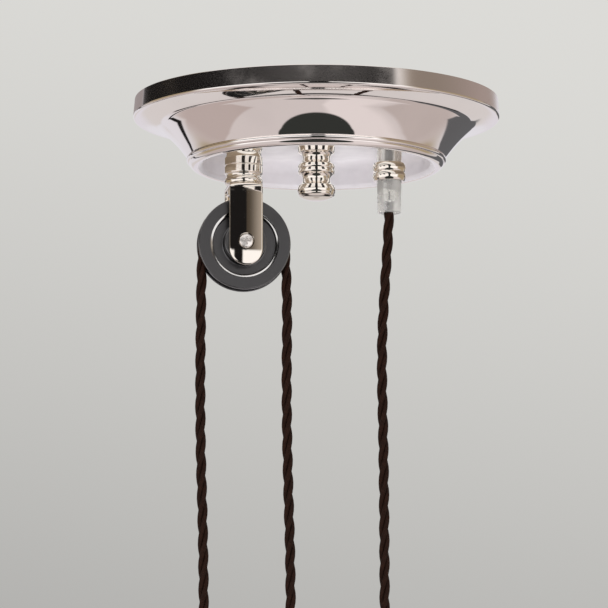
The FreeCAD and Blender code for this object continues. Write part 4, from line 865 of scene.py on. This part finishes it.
def half_section():
    """Half of a strap's section, from the middle inside to the middle outside: across, outward."""
    inside, edge = -YOKE_THICKNESS / 2, YOKE_THICKNESS / 2 - YOKE_CROWN
    flat = YOKE_HALF_WIDTH - YOKE_SOFT
    outline = [(0.0, inside), (flat / 2, inside), (flat - 0.1, inside), (flat, inside)]
    for angle in (math.radians(30), math.radians(60)):
        outline.append((flat + YOKE_SOFT * math.sin(angle),
                        inside + YOKE_SOFT * (1 - math.cos(angle))))
    outline += [(YOKE_HALF_WIDTH, inside + YOKE_SOFT), (YOKE_HALF_WIDTH, edge - YOKE_SOFT),
                (YOKE_HALF_WIDTH - 0.06, edge - 0.1)]
    sweep = (YOKE_HALF_WIDTH ** 2 + YOKE_CROWN ** 2) / (2 * YOKE_CROWN)
    for step in range(CROWN_STEPS + 1):
        across = (YOKE_HALF_WIDTH - 0.22) * (1 - step / CROWN_STEPS)
        outline.append((across, edge + YOKE_CROWN - sweep + math.sqrt(sweep ** 2 - across ** 2)))
    return outline


def yoke_shape(reach, where):
    """The whole strap: a section swept along the U, and turned round at each end."""
    middle = YOKE_GAP / 2 + YOKE_THICKNESS / 2
    top = reach - YOKE_THICKNESS / 2
    path = []
    for step in range(LEG_STEPS + 1):
        height = YOKE_END_CENTRE + (top - YOKE_BEND - YOKE_END_CENTRE) * step / LEG_STEPS
        path.append((Vector((0, -middle, height)), Vector((0, -1, 0))))
    for step in range(1, BEND_STEPS + 1):
        angle = QUARTER_TURN * step / BEND_STEPS
        outward = Vector((0, -math.cos(angle), math.sin(angle)))
        path.append((Vector((0, YOKE_BEND - middle, top - YOKE_BEND)) + outward * YOKE_BEND,
                     outward))
    path += [(Vector((0, -place.y, place.z)), Vector((0, -outward.y, outward.z)))
             for place, outward in reversed(path)]
    half = half_section()
    ring = half + [(-across, outward) for across, outward in reversed(half[1:-1])]
    shape = bmesh.new()
    shape.loops.layers.uv.new("surface")
    rows, reached = [], [0.0]
    for number, (place, outward) in enumerate(path):
        if number:
            reached.append(reached[-1] + (place - path[number - 1][0]).length)
        rows.append([shape.verts.new(where @ (place + Vector((across, 0, 0)) + outward * out))
                     for across, out in ring])
    skin(shape, rows, [length / YOKE_MAP for length in reached],
         [across for across, _ in ring + ring[:1]], True)
    for side, row in ((-1, rows[0]), (1, rows[-1])):
        fans = [row[:len(half)]]
        for step in range(1, END_STEPS):
            angle = math.pi * step / END_STEPS
            fans.append([row[0], *(shape.verts.new(where @ Vector((
                across * math.cos(angle), side * (middle + out),
                YOKE_END_CENTRE - across * math.sin(angle)))) for across, out in half[1:-1]),
                row[len(half) - 1]])
        fans.append([row[0]] + row[:len(half) - 2:-1])
        for fan in zip(fans, fans[1:]):
            skin(shape, fan, (0, 0.01), [across for across, _ in half], True)
    return shape


def build_yoke(name, stands_for, reach, body, where):
    """A yoke with its axle holes, the well of the axle's head, and the hole of its stem."""
    yoke = mesh_piece(name, yoke_shape(reach, where), turned_nickel, None, stands_for)
    lying = where @ Matrix.Rotation(QUARTER_TURN, 4, "X")
    outside = YOKE_FACE + CUT_MARGIN
    cut_away(yoke, body, round_cutter(AXLE_HOLE, -outside, outside, lying),
             round_cutter(WELL_RADIUS, WELL_FLOOR, outside, lying),
             round_cutter(STEM_HOLE, reach - YOKE_THICKNESS - CUT_MARGIN, reach + CUT_MARGIN, where))


build_yoke("ceiling_yoke", "pulley_yoke", CEILING_REACH, "root", at(*CEILING_AXLE, WHEEL_YAW))
build_yoke("counterweight_yoke", "weight_yoke", WEIGHT_REACH, "counterweight",
           at(*WEIGHT_AXLE, math.pi, math.pi))

# the closed round nut inside each yoke
NUT_STEPS = [(STEM_HOLE, 0), (7.2, 0), (8.2, -1.0, 0.29), (8.2, -2.8), (7.2, -3.8, 0.29),
             (0, -3.8), (0, -2.8), (STEM_HOLE, -2.8)]
for name, stands_for, body, where in (
        ("ceiling_yoke_nut", "pulley_yoke_nut", "root",
         at(PULLEY_SPOT, 0, PLATE_FOOT - COLLAR_HEIGHT - YOKE_THICKNESS)),
        ("counterweight_yoke_nut", "weight_yoke_nut", "counterweight",
         at(WEIGHT_AXLE.x, 0, WEIGHT_AXLE.z - WEIGHT_REACH + YOKE_THICKNESS, 0, math.pi))):
    turned_piece(name, stands_for, NUT_STEPS, turned_nickel, body, where, 96, 0.25)


# ------------------------------------------------------------------ wheels
# Two grooved wheels, turned from steel and plated dark: a flat band at the edge, a thin web and
# a hub with a bronze bush. The flex lies in a groove as round as itself.

WHEEL_HALF_WIDTH = 4.75
WHEEL_EDGE = 0.45
LIP = 1.1
LIP_DEPTH = 0.22
GROOVE_RADIUS = 2.9
GROOVE_EASE = 0.3
FLANGE_DEPTH = 2.5
RIM_BAND = 6.9
WEB_HALF = 2.3
WEB_EASE = 0.8
HUB_RADIUS = 10.3
HUB_HALF = 8.9
HUB_BORE = 3.71

wheel_nickel = plated("wheel_nickel", (0.17, 0.168, 0.173), 0.30, 0.38, 0.0000015,
                      (0.14, 0.138, 0.142), lines=7.0, length=1.0)
# a pale finish for the lip of each wheel's recess: a painted highlight
painted_lip_highlight = plated("painted_lip_highlight", (0.72, 0.71, 0.70), 0.10, 0.16, 0.000001)


def wheel_steps(radius):
    """The outline of a wheel about its axle."""
    recess = radius - RIM_BAND
    front = [
        (HUB_RADIUS - WHEEL_EDGE, HUB_HALF), (HUB_RADIUS, HUB_HALF - WHEEL_EDGE, 0.12),
        (HUB_RADIUS, WEB_HALF + WEB_EASE), (HUB_RADIUS + WEB_EASE, WEB_HALF, -0.23),
        (recess - WEB_EASE, WEB_HALF), (recess, WEB_HALF + WEB_EASE, -0.23),
        (recess, WHEEL_HALF_WIDTH - LIP_DEPTH), (recess + LIP, WHEEL_HALF_WIDTH, 0.02),
        (radius - WHEEL_EDGE, WHEEL_HALF_WIDTH), (radius, WHEEL_HALF_WIDTH - WHEEL_EDGE, 0.1),
        (radius, GROOVE_RADIUS + GROOVE_EASE), (radius - GROOVE_EASE, GROOVE_RADIUS, 0.08),
        (radius - FLANGE_DEPTH, GROOVE_RADIUS)]
    # the rear is the front walked back, and the groove's arc leads to it
    bows = [(-GROOVE_RADIUS,)] + [step[2:] for step in reversed(front[1:])]
    rear = [(step[0], -step[1], *bow) for step, bow in zip(reversed(front), bows)]
    return [(HUB_BORE, HUB_HALF)] + front + rear + [(HUB_BORE, -HUB_HALF)]


for name, radius, yaw, axle in (("ceiling_wheel", 22.7, WHEEL_YAW, CEILING_AXLE),
                                ("weight_wheel", 25.55, 0.0, WEIGHT_AXLE)):
    where = at(*axle, yaw, QUARTER_TURN)
    wheel = turned_piece(name + "_turned", name, wheel_steps(radius), wheel_nickel, name, where,
                         160, 0.1)
    # the lip of the recess is given a pale, smooth finish: a painted highlight
    wheel.data.materials.append(painted_lip_highlight)
    spindle = where.inverted()
    for face in wheel.data.polygons:
        spot = spindle @ face.center
        out, height = math.hypot(spot.x, spot.y) - radius + RIM_BAND, abs(spot.z)
        if 0 < out < LIP and WHEEL_HALF_WIDTH - LIP_DEPTH < height < WHEEL_HALF_WIDTH - 0.002:
            face.material_index = 1
    paint(bronze, name + "_bush")


# ------------------------------------------------------------------ axles
# A cross-head screw through each yoke, with its head sunk in the front leg, plain washers beside
# the hub, and a nut behind.

HEAD_RADIUS = 3.4
HEAD_TOP = 12.6
CROSS_SPAN = 4.2
CROSS_WIDTH = 1.0
CROSS_DEPTH = 0.8
AXLE_RADIUS = 2.5
AXLE_TAIL = -16.7

screw_nickel = plated("screw_nickel", (0.98, 0.93, 0.90), 0.30, 0.36, 0.000002)


def box_cutter(width, length, low, high, where):
    """A plain block to cut with."""
    shape = bmesh.new()
    bmesh.ops.create_cube(shape, size=1.0, matrix=where @ Matrix.Translation(
        (0, 0, (low + high) / 2)) @ Matrix.Diagonal((width, length, high - low, 1)))
    return shape


for prefix, axle, yaw, body in (("ceiling", CEILING_AXLE, WHEEL_YAW, "root"),
                                ("weight", WEIGHT_AXLE, 0.0, "counterweight")):
    where = at(*axle, yaw, QUARTER_TURN)
    screw = turned_piece(prefix + "_axle_screw", prefix + "_axle", [
        (0, HEAD_TOP + 0.2), (HEAD_RADIUS - 0.5, HEAD_TOP - 0.25, 0.06),
        (HEAD_RADIUS, HEAD_TOP - 0.8, 0.13), (HEAD_RADIUS, WELL_FLOOR), (AXLE_RADIUS, WELL_FLOOR),
        (AXLE_RADIUS, AXLE_TAIL + 0.4), (AXLE_RADIUS - 0.4, AXLE_TAIL), (0, AXLE_TAIL)],
        screw_nickel, None, where, 64, 0.08)
    cut_away(screw, body, *(
        box_cutter(width, length, HEAD_TOP - CROSS_DEPTH, HEAD_TOP + CUT_MARGIN, where)
        for width, length in ((CROSS_WIDTH, CROSS_SPAN), (CROSS_SPAN, CROSS_WIDTH))))
    paint(screw_nickel, prefix + "_axle_nut")
    paint(zinc_steel, prefix + "_axle_washers")


# ------------------------------------------------------------------ cord grips
# A threaded sleeve and a body of frosted nylon, with a beaded nickel collar between them. The
# body screws up over the sleeve and squeezes a split collet on the flex.

GRIP_BORE = 3.2
THREAD_RADIUS = 5.0
THREAD_HOLE = 5.05
GRIP_PITCH = 0.5
GRIP_TURNS = 7
SLEEVE_RADIUS = 6.1
GRIP_COLLAR_RADIUS = 7.5
GRIP_COLLAR_EASE = 0.3
BEAD_HEIGHT = 4.5
BEAD_PROUD = 0.59
BODY_HEIGHT = 15.8
COLLET_HEIGHT = 6.0
COLLET_BORE = 2.65
COLLET_PLAY = 0.3
COLLET_SLOT = 0.7

frosted_nylon = moulded("frosted_nylon", (0.97, 0.955, 0.93), (0.94, 0.925, 0.90), 0.24, 0.34,
                        clear=0.84)


def build_grip(prefix, tail, sleeve, body, where):
    """A whole cord grip that hangs down from its seat."""
    collar_foot = -sleeve - 2 * BEAD_HEIGHT
    tail_end = collar_foot - 4.0
    collet_top = tail_end - COLLET_PLAY
    collet_end = collet_top - COLLET_HEIGHT
    body_end = collar_foot - BODY_HEIGHT
    thread = [step for turn_at in range(GRIP_TURNS, 0, -1) for step in (
        (THREAD_RADIUS - GRIP_PITCH / 2, tail_end + GRIP_PITCH * (turn_at - 0.5)),
        (THREAD_RADIUS, tail_end + GRIP_PITCH * turn_at))]
    turned_piece(prefix + "_sleeve", prefix + "_base", [
        (GRIP_BORE, tail), (THREAD_RADIUS, tail), (THREAD_RADIUS, 0), (SLEEVE_RADIUS, 0),
        (SLEEVE_RADIUS, -sleeve), (THREAD_RADIUS, -sleeve), *thread, (GRIP_BORE, tail_end)],
        frosted_nylon, body, where, 96, 0.1)
    eased = GRIP_COLLAR_RADIUS - GRIP_COLLAR_EASE
    turned_piece(prefix + "_collar_beads", prefix + "_collar", [
        (THREAD_HOLE, -sleeve), (eased, -sleeve),
        (GRIP_COLLAR_RADIUS, -sleeve - GRIP_COLLAR_EASE, 0.05),
        (GRIP_COLLAR_RADIUS, -sleeve - BEAD_HEIGHT, BEAD_PROUD),
        (GRIP_COLLAR_RADIUS, collar_foot + GRIP_COLLAR_EASE, BEAD_PROUD),
        (eased, collar_foot, 0.05), (THREAD_HOLE, collar_foot)], turned_nickel, body, where)
    turned_piece(prefix + "_shell", prefix + "_body", [
        (THREAD_HOLE, collar_foot), (6.05, collar_foot), (5.75, body_end + 0.9),
        (4.85, body_end, 0.26), (GRIP_BORE, body_end), (GRIP_BORE, collet_end - COLLET_PLAY),
        (3.95, collet_end), (THREAD_HOLE, collet_top)], frosted_nylon, body, where, 96)
    collet = turned_piece(prefix + "_split_collet", prefix + "_collet", [
        (COLLET_BORE, collet_top), (4.7, collet_top), (3.7, collet_end), (COLLET_BORE, collet_end)],
        white_nylon, None, where, 96, 0.1)
    cut_away(collet, body, *(
        box_cutter(COLLET_SLOT, 12, collet_end - CUT_MARGIN, collet_top - 1.5,
                   where @ Matrix.Rotation(angle, 4, "Z")) for angle in (0, QUARTER_TURN)))


build_grip("grip", 6.0, 10.6, "root", at(GRIP_SPOT, 0, PLATE_FOOT))


# ------------------------------------------------------------------ counterweight
# A turned nickel can with a domed lid, full of iron discs for ballast. A steel rod ties the ring
# collar, the lid, the can and the small finial under it.

BRIDGE = WEIGHT_AXLE.z - WEIGHT_REACH
LID_TOP = BRIDGE - 8.0
CAN_TOP = LID_TOP - 8.5
CAN_FOOT = CAN_TOP - 62.0
CAN_RADIUS = 22.0
CAN_WALL = 1.2
CAN_BASE = 15.0
LID_FLAT = 11.0
LID_PLUG = 20.75
LID_PLUG_DEPTH = 4.0
CAN_FINIAL = 7.0
CAN_FINIAL_WELL = 10.25
ROD_HOLE = 3.05
# segments, easing and the steps of arcs on a wide turned piece
WIDE = (192, 0.2, 2.5)
at_can = at(WEIGHT_AXLE.x, 0, 0)

turned_piece("ring_collar", "weight_collar", [
    (STEM_HOLE, BRIDGE), (9.35, BRIDGE - 4.0, 1.6), (6.25, LID_TOP, 1.4), (STEM_HOLE, LID_TOP)],
    turned_nickel, "counterweight", at_can)
turned_piece("can_lid", "weight_lid", [
    (STEM_HOLE, LID_TOP), (LID_FLAT, LID_TOP), (CAN_RADIUS, CAN_TOP + 1.6, -2.6),
    (CAN_RADIUS, CAN_TOP), (LID_PLUG, CAN_TOP), (LID_PLUG, CAN_TOP - LID_PLUG_DEPTH),
    (LID_PLUG - CAN_WALL, CAN_TOP - LID_PLUG_DEPTH), (LID_PLUG - CAN_WALL, CAN_TOP),
    (LID_FLAT, CAN_TOP + CAN_WALL), (STEM_HOLE, CAN_TOP + CAN_WALL)],
    turned_nickel, "counterweight", at_can, *WIDE)
turned_piece("can_body", "weight_can", [
    (CAN_RADIUS - CAN_WALL, CAN_TOP), (CAN_RADIUS, CAN_TOP), (CAN_RADIUS, CAN_FOOT + 15.0),
    (CAN_RADIUS, CAN_FOOT + 12.0, 0.8), (CAN_RADIUS, CAN_FOOT + 7.0), (CAN_BASE, CAN_FOOT, 2.05),
    (ROD_HOLE, CAN_FOOT), (ROD_HOLE, CAN_FOOT + CAN_WALL), (CAN_BASE, CAN_FOOT + CAN_WALL),
    (CAN_RADIUS - CAN_WALL, CAN_FOOT + 7.0, -1.7)],
    turned_nickel, "counterweight", at_can, *WIDE)
turned_piece("can_finial", "weight_finial", [
    (ROD_HOLE, CAN_FOOT), (CAN_FINIAL, CAN_FOOT), (CAN_FINIAL, CAN_FOOT - 2.5),
    (CAN_FINIAL, CAN_FOOT - 7.5, -1.1), (0, CAN_FOOT - 15.0, 3.0),
    (0, CAN_FOOT - CAN_FINIAL_WELL), (ROD_HOLE, CAN_FOOT - CAN_FINIAL_WELL)],
    turned_nickel, "counterweight", at_can)
paint(zinc_steel, "weight_rod")
paint(raw_iron, "ballast_discs")


# ------------------------------------------------------------------ lampholder
# A nickel cap and a threaded shell round a glazed porcelain insert, with a brass screw shell and
# contact inside. Two ribbed rings on the thread clamp a shade between them.

HOLDER_X, HOLDER_Y = -55.749, -2.462
HOLDER_TOP = -423.1
CAP_NECK = 9.4
CAP_RADIUS = 21.0
CAP_EDGE = HOLDER_TOP - 17.0
CAP_FOOT = CAP_EDGE - 9.0
SHELL_RADIUS = 19.7
SHELL_TOP = CAP_FOOT + 7.0
SHELL_FOOT = SHELL_TOP - 38.0
SHELL_INSIDE = 18.25
SHELL_LIP = 16.35
THREAD_PITCH = 2.0
THREAD_DEPTH = 0.35
SOCKET_TOP = -455.7
SOCKET_FOOT = -477.7
SOCKET_RADIUS = 13.45
SOCKET_WAVES = 6
WAVE_DEPTH = 0.35
RING_RADIUS = 26.0
RING_BORE = 19.75
RING_HEIGHT = 5.0
RING_EASE = 1.6
RING_RIBS = 60
RIB_REACH = 1.0
RIB_DEPTH = 0.22
at_holder = at(HOLDER_X, HOLDER_Y, 0)

build_grip("holder_grip", 9.0, 3.3, "lampholder",
           at(HOLDER_X, HOLDER_Y, HOLDER_TOP, 0, math.pi))

turned_piece("holder_cap_dome", "holder_cap", [
    (STEM_HOLE, HOLDER_TOP), (CAP_NECK, HOLDER_TOP), (CAP_RADIUS, CAP_EDGE, 5.2),
    (CAP_RADIUS, CAP_FOOT), (RING_BORE, CAP_FOOT), (RING_BORE, CAP_EDGE),
    (CAP_NECK, HOLDER_TOP - CAN_WALL, -4.8), (STEM_HOLE, HOLDER_TOP - CAN_WALL)],
    turned_nickel, "lampholder", at_holder, *WIDE)

thread_low = SHELL_FOOT + THREAD_PITCH
threads = [step for turn_at in range(int((CAP_FOOT - thread_low) / THREAD_PITCH), 0, -1)
           for step in ((SHELL_RADIUS, thread_low + THREAD_PITCH * turn_at),
                        (SHELL_RADIUS - THREAD_DEPTH, thread_low + THREAD_PITCH * (turn_at - 0.5)))]
turned_piece("threaded_shell", "holder_shell", [
    (SHELL_INSIDE, SHELL_TOP), (SHELL_RADIUS, SHELL_TOP), *threads, (SHELL_RADIUS, thread_low),
    (SHELL_RADIUS, SHELL_FOOT), (SHELL_LIP, SHELL_FOOT), (SHELL_LIP, SHELL_FOOT + CAN_WALL),
    (SHELL_INSIDE, SHELL_FOOT + CAN_WALL)], turned_nickel, "lampholder", at_holder, 160, 0.25)

# the screw shell, rolled from thin brass
wave = (SOCKET_TOP - SOCKET_FOOT) / SOCKET_WAVES
waves = [step for number in range(SOCKET_WAVES) for step in (
    (SOCKET_RADIUS + WAVE_DEPTH, SOCKET_FOOT + wave * (number + 0.5), -0.05),
    (SOCKET_RADIUS, SOCKET_FOOT + wave * (number + 1), 0.05))]
turned_piece("rolled_screw_shell", "screw_shell", [
    (SOCKET_RADIUS + 0.5, SOCKET_TOP), (SOCKET_RADIUS + 0.5, SOCKET_FOOT),
    (SOCKET_RADIUS, SOCKET_FOOT), *waves], brass, "lampholder", at_holder, 128, 0.05)

glazed_porcelain = moulded("glazed_porcelain", (0.80, 0.79, 0.76), (0.76, 0.75, 0.72), 0.12, 0.20,
                           0.000004)
paint(glazed_porcelain, "holder_insert")
paint(zinc_steel, "holder_terminals")
paint(brass, "centre_contact")

for level, top in (("upper", CAP_FOOT - 3.0), ("lower", CAP_FOOT - 14.0)):
    foot = top - RING_HEIGHT
    ring = turned_shape(walk_outline([
        (RING_BORE, top), (RING_RADIUS - RING_EASE, top), (RING_RADIUS, top - RING_EASE, 0.47),
        (RING_RADIUS, foot + RING_EASE), (RING_RADIUS - RING_EASE, foot, 0.47), (RING_BORE, foot)],
        0.15), RING_RIBS * 4)
    for vertex in ring.verts:
        out = math.hypot(vertex.co.x, vertex.co.y)
        beyond = out - RING_RADIUS + RIB_REACH
        if beyond > 0:
            angle = math.atan2(vertex.co.y, vertex.co.x)
            rib = RIB_DEPTH * (math.cos(angle * RING_RIBS) - 1) * beyond
            vertex.co.xy *= (out + rib) / out
    ring.transform(at_holder)
    mesh_piece("ribbed_ring_" + level, ring, turned_nickel, "lampholder", "shade_ring_" + level)
